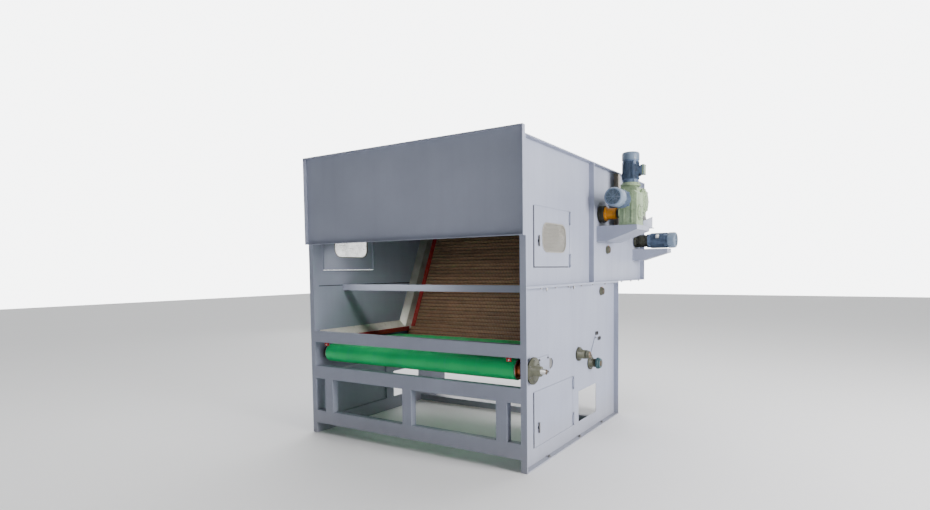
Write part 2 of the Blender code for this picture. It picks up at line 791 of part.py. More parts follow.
def bladed(count, core_r, blade_r, sides_between=3):
    """Outline of a core with radial blades, about the origin."""
    points = []
    for blade in range(count):
        angle = 2 * math.pi * blade / count
        spoke = Vector((math.cos(angle), math.sin(angle)))
        side = Vector((-spoke.y, spoke.x)) * FLAP_THICKNESS / 2
        root = math.sqrt(core_r**2 - (FLAP_THICKNESS / 2) ** 2)
        points += [spoke * root - side, spoke * blade_r - side, spoke * blade_r + side, spoke * root + side]
        gap = 2 * math.pi / count
        for step in range(1, sides_between):
            turn = angle + gap * step / sides_between
            points.append(Vector((math.cos(turn), math.sin(turn))) * core_r)
    return points


def bladed_roller(name, distance, z, count, core_r, blade_r, ends, material):
    outline = [(distance + p.x, z + p.y) for p in bladed(count, core_r, blade_r)]
    roller = finish(name, across(outline, (-ROLLER_HALF, ROLLER_HALF)), material, (0.0, place(distance), z))
    bore = core_r - ROLLER_WALL
    past = ROLLER_HALF + ROLLER_WEB
    for side in (-1, 1):
        cut(roller, turned([(side * ROLLER_WEB, bore), (side * past, bore)], distance, z, HOLE_SIDES))
    join(roller, turned([(ends[0], SHAFT_R), (ends[1], SHAFT_R)], distance, z, HOLE_SIDES))


def upper_rollers():
    plain_end = SKIN_X + SHAFT_END
    evener_end = SKIN_X + SHEET + COUPLING_HUB_WIDTH
    evener_half = GUIDE_INNER_X - EVENER_SIDE_GAP
    profile = hollow_roller(evener_half, EVENER_R, SHAFT_R, (-plain_end, evener_end))
    evener = turned(profile, EVENER_PLACE, EVENER_Z)
    finish("evener_roller", evener, STEEL, (0.0, place(EVENER_PLACE), EVENER_Z), True)
    ends = (-plain_end, plain_end)
    bladed_roller(
        "stripping_roller",
        STRIPPER_PLACE,
        STRIPPER_Z,
        STRIPPER_FLAPS,
        STRIPPER_CORE_R,
        STRIPPER_R,
        ends,
        STEEL,
    )
    delivery_ends = (-plain_end, SKIN_X + MOTOR_STAND - RUN)
    bladed_roller(
        "delivery_roller",
        DELIVERY_PLACE,
        DELIVERY_Z,
        DELIVERY_FLAPS,
        DELIVERY_CORE_R,
        DELIVERY_R,
        delivery_ends,
        STEEL,
    )


def chain_cover():
    """Cover over the chain from the evener to the stripping roller, on the left wall."""
    outline = loop_points(
        (EVENER_PLACE, EVENER_Z), (STRIPPER_PLACE, STRIPPER_Z), CHAIN_COVER_MARGIN, ROUND // 2
    )
    inner = loop_points(
        (EVENER_PLACE, EVENER_Z), (STRIPPER_PLACE, STRIPPER_Z), CHAIN_COVER_MARGIN - SHEET / 2, ROUND // 2
    )
    face = -SKIN_X - CLEAR
    cover = finish("chain_cover", across(outline, (face, face - CHAIN_COVER_DEPTH)), STEEL_PAINT)
    cut(cover, across(inner, (face + SHEET, face - CHAIN_COVER_DEPTH + SHEET)))


# Doors


def door(side, label, level, opening, latch_z, window=None):
    """Flush door hung on its rear edge, with a folded edge inside and two hinge knuckles."""
    limits = grown(opening[0], -DOOR_GAP)
    heights = grown(opening[1], -DOOR_GAP)
    axis = (side * (SKIN_X + HINGE_STAND), place(opening[0][1] - DOOR_GAP / 2), sum(opening[1]) / 2)
    hinge = bpy.data.objects.new(f"{level}_door_hinge_{label}", None)
    hinge.location = axis
    bpy.context.scene.collection.objects.link(hinge)
    thickness = (side * (SKIN_X - DOOR_FOLD), side * SKIN_X)
    leaf = tray(thickness, limits, heights, (-side, 0, 0), SHEET, DOOR_EDGE)
    piece = finish(f"{level}_door_{label}", leaf, STEEL_PAINT, axis, parent=hinge)
    for z in (heights[0] + HINGE_INSET, heights[1] - HINGE_INSET):
        span = grown((z, z), HINGE_LENGTH / 2)
        reach = (side * (SKIN_X - SHEET / 2), side * (SKIN_X + HINGE_STAND))
        web = block(reach, (limits[1] - HINGE_WEB, limits[1] - DOOR_EDGE / 2), span)
        knuckle = turned_upright(
            [(span[0], HINGE_R), (span[1], HINGE_R)], axis[0], opening[0][1] - DOOR_GAP / 2, HOLE_SIDES
        )
        join(piece, web, knuckle)
    if window:
        cut(piece, side_cut(side, rounded(*window, WINDOW_CORNER)))
        pane = rounded(grown(window[0], -CLEAR), grown(window[1], -CLEAR), WINDOW_CORNER)
        middle = side * (SKIN_X - SHEET / 2)
        glass = across(pane, grown((middle, middle), GLASS / 2))
        finish(f"{level}_door_window_{label}", glass, WINDOW_GLASS, axis, parent=hinge)
    latch_place = opening[0][0] + LATCH_INSET
    latch_origin = (side * SKIN_X, place(latch_place), latch_z)
    face = SKIN_X + CLEAR
    latch = block(
        (side * face, side * (face + LATCH_SIZE[0])),
        grown((latch_place, latch_place), LATCH_SIZE[1] / 2),
        grown((latch_z, latch_z), LATCH_SIZE[2] / 2),
    )
    finish(f"{level}_latch_{label}", latch, LATCH_BLACK, latch_origin, parent=hinge)


def doors():
    for side, label in ((1, "right"), (-1, "left")):
        opening = (upper_door_place(side, UPPER_DOOR[0]), UPPER_DOOR[1])
        window = (upper_door_place(side, WINDOW[0]), WINDOW[1])
        door(side, label, "upper", opening, UPPER_LATCH_Z, window)
        door(side, label, "lower", LOWER_DOOR, LOWER_LATCH_Z)


# Drives


def wall_bracket(name, limits, box_depth, top, reach, drop):
    """Folded bracket on the right wall: level top, tapering box under its front, open at the back."""
    face = SKIN_X + CLEAR

    def outline(wall):
        slope = (drop - SHELF_TIP) / (reach - SHELF_LEVEL)
        return [
            (face + wall, top - wall),
            (face + wall, top - drop + wall),
            (face + SHELF_LEVEL, top - drop + wall),
            (face + reach - wall, top - SHELF_TIP - slope * wall + wall),
            (face + reach - wall, top - wall),
        ]

    bracket = finish(name, along(outline(0.0), (limits[0], limits[0] + box_depth)), STEEL_PAINT)
    inside = (limits[0] + SHELF_PLATE, limits[0] + box_depth + SHELF_PLATE)
    cut(bracket, along(outline(SHELF_PLATE), inside))
    if limits[1] > limits[0] + box_depth:
        plate = block((face, face + reach), (limits[0] + SHELF_PLATE, limits[1]), (top - SHELF_PLATE, top))
        join(bracket, plate)


def worm_box(name, x, limits, height, foot_height, cover=None):
    """Gear housing on the shelf with a chamfered top and a foot, open underneath."""
    low = SHELF_TOP + CLEAR
    shoulder = low + height - CASTING_CHAMFER
    outline = [
        (SKIN_X + x[0], low),
        (SKIN_X + x[1], low),
        (SKIN_X + x[1], shoulder),
        (SKIN_X + x[1] - CASTING_CHAMFER, low + height),
        (SKIN_X + x[0] + CASTING_CHAMFER, low + height),
        (SKIN_X + x[0], shoulder),
    ]
    box = finish(name, along(outline, limits), GEAR_GREEN)
    join(box, block((SKIN_X + x[0], SKIN_X + SHELF_REACH - CASTING_WALL), limits, (low, low + foot_height)))
    if cover:
        join(box, cover)
    inside = block(
        grown((SKIN_X + x[0], SKIN_X + x[1]), -CASTING_WALL),
        grown(limits, -CASTING_WALL),
        (low - CASTING_WALL, shoulder - CASTING_WALL),
    )
    return cut(box, inside)


def motor_profile(length, start):
    """Motor outline from its flange to its fan cowl, as (travel, radius) points."""
    cowl = start + length * (1 - COWL_SHARE)
    return [
        (start, MOTOR_FLANGE_R),
        (start + MOTOR_FLANGE_STEP, MOTOR_BODY_R),
        (cowl, MOTOR_BODY_R),
        (cowl, MOTOR_R),
        (start + length - COWL_BEVEL, MOTOR_R),
        (start + length, MOTOR_END_R),
    ]


def evener_drive():
    x = EVENER_BOX_X
    worm_box("evener_gearbox", x, EVENER_BOX_PLACE, EVENER_BOX_HEIGHT, FOOT_HEIGHT)
    hub = (SKIN_X + SHEET, SKIN_X + SHEET + COUPLING_HUB_WIDTH)
    coupling = turned(
        [
            (hub[0], COUPLING_HUB_R),
            (hub[1], COUPLING_HUB_R),
            (hub[1], COUPLING_SLEEVE_R),
            (SKIN_X + x[0] - RUN, COUPLING_SLEEVE_R),
        ],
        EVENER_PLACE,
        EVENER_Z,
    )
    origin = (hub[1], place(EVENER_PLACE), EVENER_Z)
    piece = finish("evener_coupling", coupling, COUPLING_ORANGE, origin, True)
    bore = [(SKIN_X, HOLE_R), (hub[1] + CLEAR, HOLE_R)]
    cut(piece, turned(bore, EVENER_PLACE, EVENER_Z, HOLE_SIDES))
    start = EVENER_BOX_PLACE[0] - CLEAR
    profile = [(start - travel, radius) for travel, radius in motor_profile(EVENER_MOTOR_LENGTH, 0.0)]
    motor = turned_lengthwise(profile, SKIN_X + EVENER_MOTOR_X, EVENER_MOTOR_Z)
    finish("evener_motor", motor, MOTOR_BLUE, smooth=True)


def lattice_drive():
    x = LATTICE_BOX_X
    face = SKIN_X + x[1]
    head = (lattice_centre(LATTICE_HEAD_Z), LATTICE_HEAD_Z)
    cover = turned(
        [
            (face - CASTING_WALL / 2, LATTICE_COVER_R),
            (face + LATTICE_COVER_DEPTH - COVER_BEVEL, LATTICE_COVER_R),
            (face + LATTICE_COVER_DEPTH, LATTICE_COVER_R - COVER_BEVEL),
        ],
        *head,
    )
    worm_box("lattice_gearbox", x, LATTICE_BOX_PLACE, LATTICE_BOX_HEIGHT, PEDESTAL_HEIGHT, cover)
    base = SHELF_TOP + LATTICE_BOX_HEIGHT + 2 * CLEAR
    motor_x = SKIN_X + LATTICE_MOTOR_X
    motor = turned_upright(
        [(base, MOTOR_FOOT_R), (base + MOTOR_FOOT, MOTOR_FOOT_R)]
        + motor_profile(LATTICE_MOTOR_HEIGHT, base + MOTOR_FOOT),
        motor_x,
        LATTICE_MOTOR_PLACE,
    )
    piece = finish("lattice_motor", motor, MOTOR_BLUE, smooth=True)
    box_low = base + MOTOR_FOOT + TERMINAL_BOX_STAND
    reach = MOTOR_R + TERMINAL_BOX[0]
    box = block(
        (motor_x + MOTOR_FLANGE_R, motor_x + reach),
        grown((LATTICE_MOTOR_PLACE, LATTICE_MOTOR_PLACE), TERMINAL_BOX[1] / 2),
        (box_low, box_low + TERMINAL_BOX[2]),
    )
    join(piece, box)


def delivery_drive():
    start = SKIN_X + MOTOR_STAND
    unit_end = start + DELIVERY_UNIT_LENGTH
    motor = turned(
        [(start, DELIVERY_UNIT_R), (unit_end, DELIVERY_UNIT_R)]
        + motor_profile(SKIN_X + DELIVERY_MOTOR_END - unit_end, unit_end),
        DELIVERY_PLACE,
        DELIVERY_Z,
    )
    finish("delivery_motor", motor, MOTOR_BLUE, smooth=True)


def clear_scene():
    for piece in list(bpy.data.objects):
        bpy.data.objects.remove(piece, do_unlink=True)


clear_scene()

STEEL_PAINT = paint("blue_grey_paint", (0.22, 0.25, 0.31), 0.45)
GUIDE_STEEL = paint("guide_steel", (0.42, 0.42, 0.38), 0.4, 0.6)
GREEN_BELT = paint("green_belt", (0.03, 0.36, 0.14), 0.5)
SLAT_WOOD = paint("slat_wood", (0.20, 0.11, 0.06), 0.7)
STEEL = paint("bright_steel", (0.60, 0.60, 0.60), 0.35, 1.0)
CAST_IRON = paint("cast_iron", (0.16, 0.17, 0.13), 0.5, 0.8)
WINDOW_GLASS = paint("window_glass", (0.70, 0.70, 0.62), 0.1)
LATCH_BLACK = paint("latch_black", (0.02, 0.02, 0.02), 0.4)
GEAR_GREEN = paint("gear_green", (0.35, 0.47, 0.33), 0.45)
MOTOR_BLUE = paint("motor_blue", (0.05, 0.14, 0.23), 0.4)
COUPLING_ORANGE = paint("coupling_orange", (0.62, 0.30, 0.02), 0.45)

side_panels()
covers()
frame_bars()
feed_apron()
take_up_bearings()
flange_bearing("apron_drive_bearing", APRON_REAR, APRON_Z, HOLE_R)
flange_bearing("lattice_foot_bearing", *LATTICE_FOOT, DRUM_HOLE_R)
guides()
spiked_lattice()
upper_rollers()
chain_cover()
doors()
wall_bracket("drive_shelf", SHELF, SHELF_BOX_DEPTH, SHELF_TOP, SHELF_REACH, SHELF_DROP)
wall_bracket("delivery_bracket", BRACKET, BRACKET[1] - BRACKET[0], BRACKET_TOP, BRACKET_REACH, BRACKET_DROP)
evener_drive()
lattice_drive()
delivery_drive()
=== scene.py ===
import json
import math

import bmesh
import bpy
from bpy.props import FloatProperty, FloatVectorProperty, IntProperty, PointerProperty
from mathutils import Matrix, Vector

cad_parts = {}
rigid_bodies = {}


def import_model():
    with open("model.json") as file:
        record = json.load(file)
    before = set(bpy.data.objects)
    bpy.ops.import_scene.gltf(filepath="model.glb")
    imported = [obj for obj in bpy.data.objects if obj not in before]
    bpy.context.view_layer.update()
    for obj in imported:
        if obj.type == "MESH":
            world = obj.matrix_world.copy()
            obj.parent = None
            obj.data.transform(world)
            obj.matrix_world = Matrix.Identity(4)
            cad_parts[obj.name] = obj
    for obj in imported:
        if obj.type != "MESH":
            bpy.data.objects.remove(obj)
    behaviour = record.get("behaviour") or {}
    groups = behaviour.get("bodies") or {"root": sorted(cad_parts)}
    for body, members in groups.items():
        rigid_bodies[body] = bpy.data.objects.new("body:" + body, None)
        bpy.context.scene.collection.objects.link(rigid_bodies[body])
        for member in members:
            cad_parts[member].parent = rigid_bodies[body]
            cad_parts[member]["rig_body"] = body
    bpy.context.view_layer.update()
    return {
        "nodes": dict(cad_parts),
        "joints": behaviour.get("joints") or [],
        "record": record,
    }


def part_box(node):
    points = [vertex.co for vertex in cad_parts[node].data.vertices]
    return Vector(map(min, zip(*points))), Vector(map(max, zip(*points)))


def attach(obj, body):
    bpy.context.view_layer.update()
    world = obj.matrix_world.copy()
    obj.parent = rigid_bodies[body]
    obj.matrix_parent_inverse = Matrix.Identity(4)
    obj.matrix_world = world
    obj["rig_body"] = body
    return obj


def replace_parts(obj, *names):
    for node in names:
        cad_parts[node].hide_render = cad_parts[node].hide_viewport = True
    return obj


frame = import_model()  # bodies, nodes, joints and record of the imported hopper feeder

bl_info = {
    "name": "Spiked-Lattice Hopper Feeder",
    "version": (1, 0, 0),
    "blender": (4, 5, 0),
    "location": "3D View > Sidebar > Feeder",
    "description": "Finishes, fasteners, drives, doors and spikes for a hopper feeder",
    "category": "Object",
}

SIDES = ((1, "right"), (-1, "left"))
MACHINE = "machine"
AXES = {joint["name"]: Vector(joint["pos_m"]) for joint in frame["joints"]}

# Places read from the frame
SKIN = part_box("drive_shelf")[0].x  # outer face of the side walls' skin
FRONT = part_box("lower_side_panel_right")[0].y
LOWER_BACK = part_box("lower_side_panel_right")[1].y
SEAM_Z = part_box("lower_side_panel_right")[1].z
PANEL_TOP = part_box("upper_rear_panel_right")[1].z
FLANGE_RIM = 0.010  # thickness of the flanges round the wall panels
FLANGE_MIDDLE = SKIN + 0.028
WALL_SHEET = 0.004
LIFT = 0.0004  # air between a wall and a fitting laid on it

LATTICE_FOOT = AXES["lattice_bottom_spin"]
LATTICE_HEAD = AXES["lattice_top_spin"]
LATTICE_FACE = LATTICE_FOOT.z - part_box("spiked_lattice")[0].z  # from an axis to the slats' face
LATTICE_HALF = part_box("spiked_lattice")[1].x
SHARP = math.radians(35)  # edges above this angle are bevelled and shaded sharp
SPIKE_ROWS = 53.0  # rows of painted shade round the spikes in a metre of slat


# Sizes and colours


def size(name, description, default, unit="LENGTH"):
    return FloatProperty(name=name, description=description, default=default, unit=unit, precision=4)


def count(name, description, default):
    return IntProperty(name=name, description=description, default=default, min=1)


def colour(name, description, default):
    return FloatVectorProperty(
        name=name, description=description, default=default, size=3, subtype="COLOR", min=0.0, max=1.0
    )


class FeederSizes(bpy.types.PropertyGroup):
    slat_count: count("Slats", "Slats on the spiked lattice", 108)
    slat_width: size("Slat Width", "Width of a slat along the lattice", 0.0355)
    slat_height: size("Slat Height", "Height of a slat above the canvas", 0.010)
    canvas: size("Canvas", "Thickness of the lattice's canvas", 0.014)
    spikes_per_slat: count("Spikes", "Spikes in the row of one slat", 112)
    spike_length: size("Spike Length", "Length of a lattice spike", 0.020)
    spike_radius: size("Spike Radius", "Radius of a lattice spike at its root", 0.0028)
    spike_lean: FloatProperty(
        name="Spike Lean",
        description="Lean of the lattice's spikes towards its travel",
        default=math.radians(28),
        subtype="ANGLE",
    )
    evener_rows: count("Evener Rows", "Rows of pins round the evener", 14)
    evener_pins: count("Evener Pins", "Pins in one row of the evener", 46)
    evener_pin: size("Evener Pin", "Length of an evener pin", 0.026)
    strip_width: size("Wiper Width", "Width of the red wiper strips", 0.055)
    strip_thickness: size("Wiper Thickness", "Thickness of the red wiper strips", 0.006)
    bolt_radius: size("Bolt Head", "Radius of a flange bolt's head across its corners", 0.0095)
    screw_radius: size("Screw Head", "Radius of a cover screw's head", 0.006)
    fin_count: count("Fins", "Cooling fins round a motor", 40)
    fin_thickness: size("Fin Thickness", "Thickness of a motor's cooling fins", 0.0028)
    gasket: size("Gasket", "Width of a window's rubber gasket", 0.010)
    bearing_radius: size("Bearing Flange", "Radius of a wall bearing's flange", 0.044)


class FeederColours(bpy.types.PropertyGroup):
    paint: colour("Paint", "Enamel of the body", (0.300, 0.325, 0.410))
    guide: colour("Guides", "Worn sheet of the hopper's guides", (0.86, 0.85, 0.77))
    belt: colour("Belt", "Feed belt", (0.022, 0.540, 0.165))
    wood: colour("Slats", "Oiled wood of the lattice's slats", (0.300, 0.180, 0.110))
    canvas: colour("Canvas", "Canvas under the slats", (0.150, 0.080, 0.050))
    steel: colour("Steel", "Turned steel", (0.55, 0.55, 0.54))
    iron: colour("Iron", "Oiled cast iron", (0.095, 0.098, 0.070))
    wiper: colour("Wipers", "Red rubber of the wiper strips", (0.300, 0.016, 0.014))
    gear: colour("Gearboxes", "Pale green enamel on castings", (0.265, 0.350, 0.215))
    motor: colour("Motors", "Blue enamel on motor castings", (0.115, 0.160, 0.240))
    cowl: colour("Cowls", "Pale blue enamel on fan cowls", (0.150, 0.200, 0.270))
    coupling: colour("Coupling", "Orange enamel", (0.520, 0.205, 0.012))
    pane: colour("Windows", "Slightly yellowed acrylic", (0.230, 0.220, 0.190))
    collar: colour("Collars", "Teal enamel on shaft collars", (0.040, 0.085, 0.090))
    trunking: colour("Trunking", "Grey-brown cable trunking", (0.420, 0.370, 0.310))
    floor: colour("Floor", "Studio floor", (0.82, 0.82, 0.82))


# Node trees


class Wire:
    """A node's output that takes part in Python arithmetic."""

    def __init__(self, plan, socket):
        self.plan = plan
        self.socket = socket

    def maths(self, operation, first, second):
        return self.plan.node("ShaderNodeMath", {"operation": operation}, {0: first, 1: second})

    def __add__(self, other):
        return self.maths("ADD", self, other)

    def __radd__(self, other):
        return self.maths("ADD", other, self)

    def __sub__(self, other):
        return self.maths("SUBTRACT", self, other)

    def __rsub__(self, other):
        return self.maths("SUBTRACT", other, self)

    def __mul__(self, other):
        return self.maths("MULTIPLY", self, other)

    def __rmul__(self, other):
        return self.maths("MULTIPLY", other, self)

    def __truediv__(self, other):
        return self.maths("DIVIDE", self, other)

    def __rtruediv__(self, other):
        return self.maths("DIVIDE", other, self)

    def __mod__(self, other):
        return self.maths("MODULO", self, other)

    def __rmod__(self, other):
        return self.maths("MODULO", other, self)


class Plan:
    """A node tree under construction."""

    def __init__(self, tree):
        self.tree = tree

    def node(self, kind, settings=None, sockets=None, output=0):
        """Adds a node: its settings first, then the values or wires of its sockets."""
        node = self.tree.nodes.new(kind)
        for name, value in (settings or {}).items():
            setattr(node, name, value)
        for key, value in (sockets or {}).items():
            self.feed(node.inputs[key], value)
        return Wire(self, node.outputs[output])

    def feed(self, socket, value):
        if isinstance(value, Wire):
            self.tree.links.new(value.socket, socket)
        elif isinstance(value, list):
            for wire in value:
                self.tree.links.new(wire.socket, socket)
        else:
            socket.default_value = value


class Finish(Plan):
    """A material under construction."""

    def __init__(self, name, metallic=0.0, coat=0.0, specular=0.5):
        self.material = bpy.data.materials.new(f"{name}_finish")
        self.material.use_nodes = True
        super().__init__(self.material.node_tree)
        self.shader = self.tree.nodes["Principled BSDF"]
        self.shader.inputs["Metallic"].default_value = metallic
        self.shader.inputs["Coat Weight"].default_value = coat
        self.shader.inputs["Specular IOR Level"].default_value = specular
        self.coordinates = self.node("ShaderNodeTexCoord", output="Object")

    def placed(self, stretch=(1, 1, 1)):
        return self.node("ShaderNodeMapping", None, {"Vector": self.coordinates, "Scale": stretch})

    def noise(self, scale, detail=3.0, rough=0.5, stretch=(1, 1, 1)):
        sockets = {"Vector": self.placed(stretch), "Scale": scale, "Detail": detail, "Roughness": rough}
        return self.node("ShaderNodeTexNoise", {"noise_dimensions": "3D"}, sockets)

    def cells(self, scale, stretch=(1, 1, 1), output="Distance"):
        sockets = {"Vector": self.placed(stretch), "Scale": scale}
        return self.node("ShaderNodeTexVoronoi", {"feature": "F1"}, sockets, output)

    def threads(self, axis, scale):
        settings = {"wave_type": "BANDS", "bands_direction": axis}
        return self.node("ShaderNodeTexWave", settings, {"Vector": self.placed(), "Scale": scale})

    def ramp(self, value, low, high, start=0.0, end=1.0):
        """Value mapped from low..high to start..end, clamped."""
        sockets = {"Value": value, "From Min": low, "From Max": high, "To Min": start, "To Max": end}
        return self.node("ShaderNodeMapRange", {"clamp": True}, sockets)

    def height(self, axis="Z"):
        return self.node("ShaderNodeSeparateXYZ", None, {0: self.coordinates}, axis)

    def mix(self, factor, first, second):
        settings = {"data_type": "RGBA", "blend_type": "MIX"}
        shades = [s if isinstance(s, Wire) else (*s, 1.0) for s in (first, second)]
        return self.node("ShaderNodeMix", settings, {0: factor, 6: shades[0], 7: shades[1]}, 2)

    def bump(self, height, strength, distance):
        sockets = {"Height": height, "Strength": strength, "Distance": distance}
        self.feed(self.shader.inputs["Normal"], self.node("ShaderNodeBump", None, sockets))

    def set(self, **values):
        for name, value in values.items():
            self.feed(self.shader.inputs[name.replace("_", " ").title()], value)
        return self.material


def tinted(shade, factor):
    return tuple(min(channel * factor, 1.0) for channel in shade)


def enamel(name, shade, roughness=0.4, texture=0.05, dust=True):
    """Sprayed enamel: faint cloudiness, runs, orange peel, and dust that gathers near the floor."""
    f = Finish(name, coat=0.02, specular=0.22)
    cloud = f.noise(1.7, 4.0)
    streak = f.noise(9.0, 3.0, 0.6, (1, 1, 0.08))
    speck = f.ramp(f.noise(55.0, 2.0), 0.66, 0.72)
    base = f.mix(f.ramp(cloud, 0.3, 0.7), tinted(shade, 0.93), tinted(shade, 1.06))
    base = f.mix(f.ramp(streak, 0.45, 0.75, 0.0, 0.22), base, tinted(shade, 0.80))
    base = f.mix(speck * 0.10, base, tinted(shade, 0.6))
    if dust:
        low = f.ramp(f.height() + cloud * 0.20, 0.08, 0.45, 0.30, 0.0)
        base = f.mix(low, base, (0.30, 0.28, 0.25))
    f.bump(f.noise(240.0, 2.0), texture, 0.002)
    rough = f.ramp(streak + cloud * 0.5, 0.4, 1.1, roughness - 0.06, roughness + 0.12)
    return f.set(base_color=base, roughness=rough)


def casting(name, shade, roughness=0.52):
    """Enamel over sand-cast iron: coarse skin, oily patches and darker pits."""
    f = Finish(name, coat=0.03, specular=0.16)
    skin = f.noise(120.0, 5.0, 0.65)
    patch = f.noise(14.0, 4.0, 0.6)
    base = f.mix(f.ramp(patch, 0.35, 0.7), tinted(shade, 0.78), tinted(shade, 1.12))
    grime = f.ramp(f.noise(32.0, 4.0, 0.7), 0.52, 0.74, 0.0, 0.55)
    base = f.mix(grime, base, tinted(shade, 0.35))
    f.bump(skin, 0.30, 0.002)
    return f.set(base_color=base, roughness=f.ramp(patch, 0.3, 0.7, roughness - 0.1, roughness + 0.1))


def bare_metal(name, shade, roughness, metallic=1.0, grain=(1, 1, 1), rust=0.0, shade_above=None):
    """Turned, rolled or worn metal, with a directional grain, tarnish and, above a height, painted shade
    that darkens it.
    """
    f = Finish(name, metallic=metallic)
    lines = f.noise(160.0, 3.0, 0.6, grain)
    patch = f.noise(7.0, 5.0, 0.6)
    base = f.mix(f.ramp(patch, 0.3, 0.7), tinted(shade, 0.72), tinted(shade, 1.12))
    base = f.mix(f.ramp(lines, 0.3, 0.7, 0.0, 0.35), base, tinted(shade, 0.62))
    if rust:
        spread = f.ramp(f.noise(18.0, 6.0, 0.7), 0.56, 0.72, 0.0, rust)
        base = f.mix(spread, base, (0.12, 0.055, 0.025))
    # darker the higher it stands: painted shade
    if shade_above:
        upper_shade = f.ramp(f.height("Z") + patch * 0.12, shade_above, shade_above + 0.22, 0.0, 0.78)
        base = f.mix(upper_shade, base, tinted(shade, 0.12))
    f.bump(lines, 0.10, 0.001)
    return f.set(base_color=base, roughness=f.ramp(lines, 0.2, 0.8, roughness - 0.08, roughness + 0.12))


def belting(name, shade):
    """Coated belting: fine weave under the coat, scuffs along its travel and dusty edges."""
    f = Finish(name, specular=0.15)
    weave = f.cells(430.0)
    scuff = f.ramp(f.noise(26.0, 5.0, 0.65, (1, 0.12, 0.12)), 0.50, 0.75, 0.0, 0.40)
    patch = f.noise(3.0, 4.0)
    base = f.mix(f.ramp(patch, 0.3, 0.7), tinted(shade, 0.86), tinted(shade, 1.10))
    base = f.mix(scuff, base, (0.06, 0.42, 0.22))
    f.bump(weave + f.noise(60.0) * 0.6, 0.12, 0.001)
    return f.set(base_color=base, roughness=f.ramp(patch + scuff, 0.3, 1.0, 0.34, 0.55))


def oiled_wood(name, shade):
    """Oiled hardwood: grain along each slat, a shade for each length of wood, and painted shade in bands
    round the spikes.
    """
    f = Finish(name)
    grain = f.noise(60.0, 6.0, 0.65, (0.05, 1, 1))
    board = f.cells(22.0, (0.02, 1, 1), output="Color")
    tone = f.node("ShaderNodeSeparateColor", None, {0: board})
    base = f.mix(f.ramp(grain, 0.3, 0.72), tinted(shade, 0.55), tinted(shade, 1.30))
    base = f.mix(tone * 0.5, base, tinted(shade, 1.9))
    worn = f.ramp(f.noise(9.0, 4.0, 0.6), 0.5, 0.75, 0.0, 0.4)
    base = f.mix(worn, base, tinted(shade, 0.45))
    # dark band at each row of spikes: painted shade of the spikes on the slats
    spike_shade = ((f.height("X") + 10.0) * SPIKE_ROWS) % 1.0
    spike_shade = f.ramp(spike_shade, 0.25, 0.45, 0.0, 1.0) * f.ramp(spike_shade, 0.60, 0.80, 1.0, 0.0)
    base = f.mix(spike_shade * 0.75, base, tinted(shade, 0.22))
    f.bump(grain, 0.35, 0.001)
    return f.set(base_color=base, roughness=f.ramp(grain, 0.2, 0.8, 0.50, 0.78))


def woven(name, shade):
    """Canvas: crossed threads."""
    f = Finish(name, specular=0.2)
    warp, weft = (f.threads(axis, 160.0) for axis in "XZ")
    base = f.mix(f.ramp(f.noise(12.0, 5.0), 0.3, 0.7), tinted(shade, 0.6), tinted(shade, 1.5))
    f.bump(warp * weft, 0.35, 0.001)
    return f.set(base_color=base, roughness=f.ramp(warp + weft, 0.0, 2.0, 0.75, 0.95))


def rubber(name, shade, roughness=0.55, dust=0.2):
    """Moulded rubber or plastic with a dusty bloom."""
    f = Finish(name)
    bloom = f.noise(28.0, 5.0, 0.6)
    base = f.mix(f.ramp(bloom, 0.45, 0.8, 0.0, dust), tinted(shade, 1.0), tinted(shade, 2.0))
    base = f.mix(f.ramp(f.noise(5.0), 0.3, 0.7, 0.0, 0.5), base, tinted(shade, 0.7))
    f.bump(f.noise(300.0, 3.0), 0.12, 0.0008)
    return f.set(base_color=base, roughness=f.ramp(bloom, 0.2, 0.8, roughness - 0.1, roughness + 0.15))


def acrylic(name, shade):
    """A pane with dust, haze and fine scratches."""
    f = Finish(name, coat=0.05, specular=0.3)
    haze = f.noise(6.0, 5.0, 0.6)
    scratch = f.ramp(f.noise(90.0, 2.0, 0.5, (1, 0.1, 1)), 0.62, 0.68)
    base = f.mix(f.ramp(haze, 0.3, 0.7), tinted(shade, 0.85), tinted(shade, 1.20))
    alpha = f.ramp(haze + scratch * 0.3, 0.2, 1.0, 0.46, 0.74)
    return f.set(base_color=base, roughness=f.ramp(haze, 0.3, 0.7, 0.10, 0.26), alpha=alpha)


def stage_floor(name, shade):
    f = Finish(name, specular=0.2)
    cloud = f.noise(0.6, 3.0)
    base = f.mix(f.ramp(cloud, 0.3, 0.7), tinted(shade, 0.985), shade)
    return f.set(base_color=base, roughness=f.ramp(cloud, 0.3, 0.7, 0.75, 0.85))


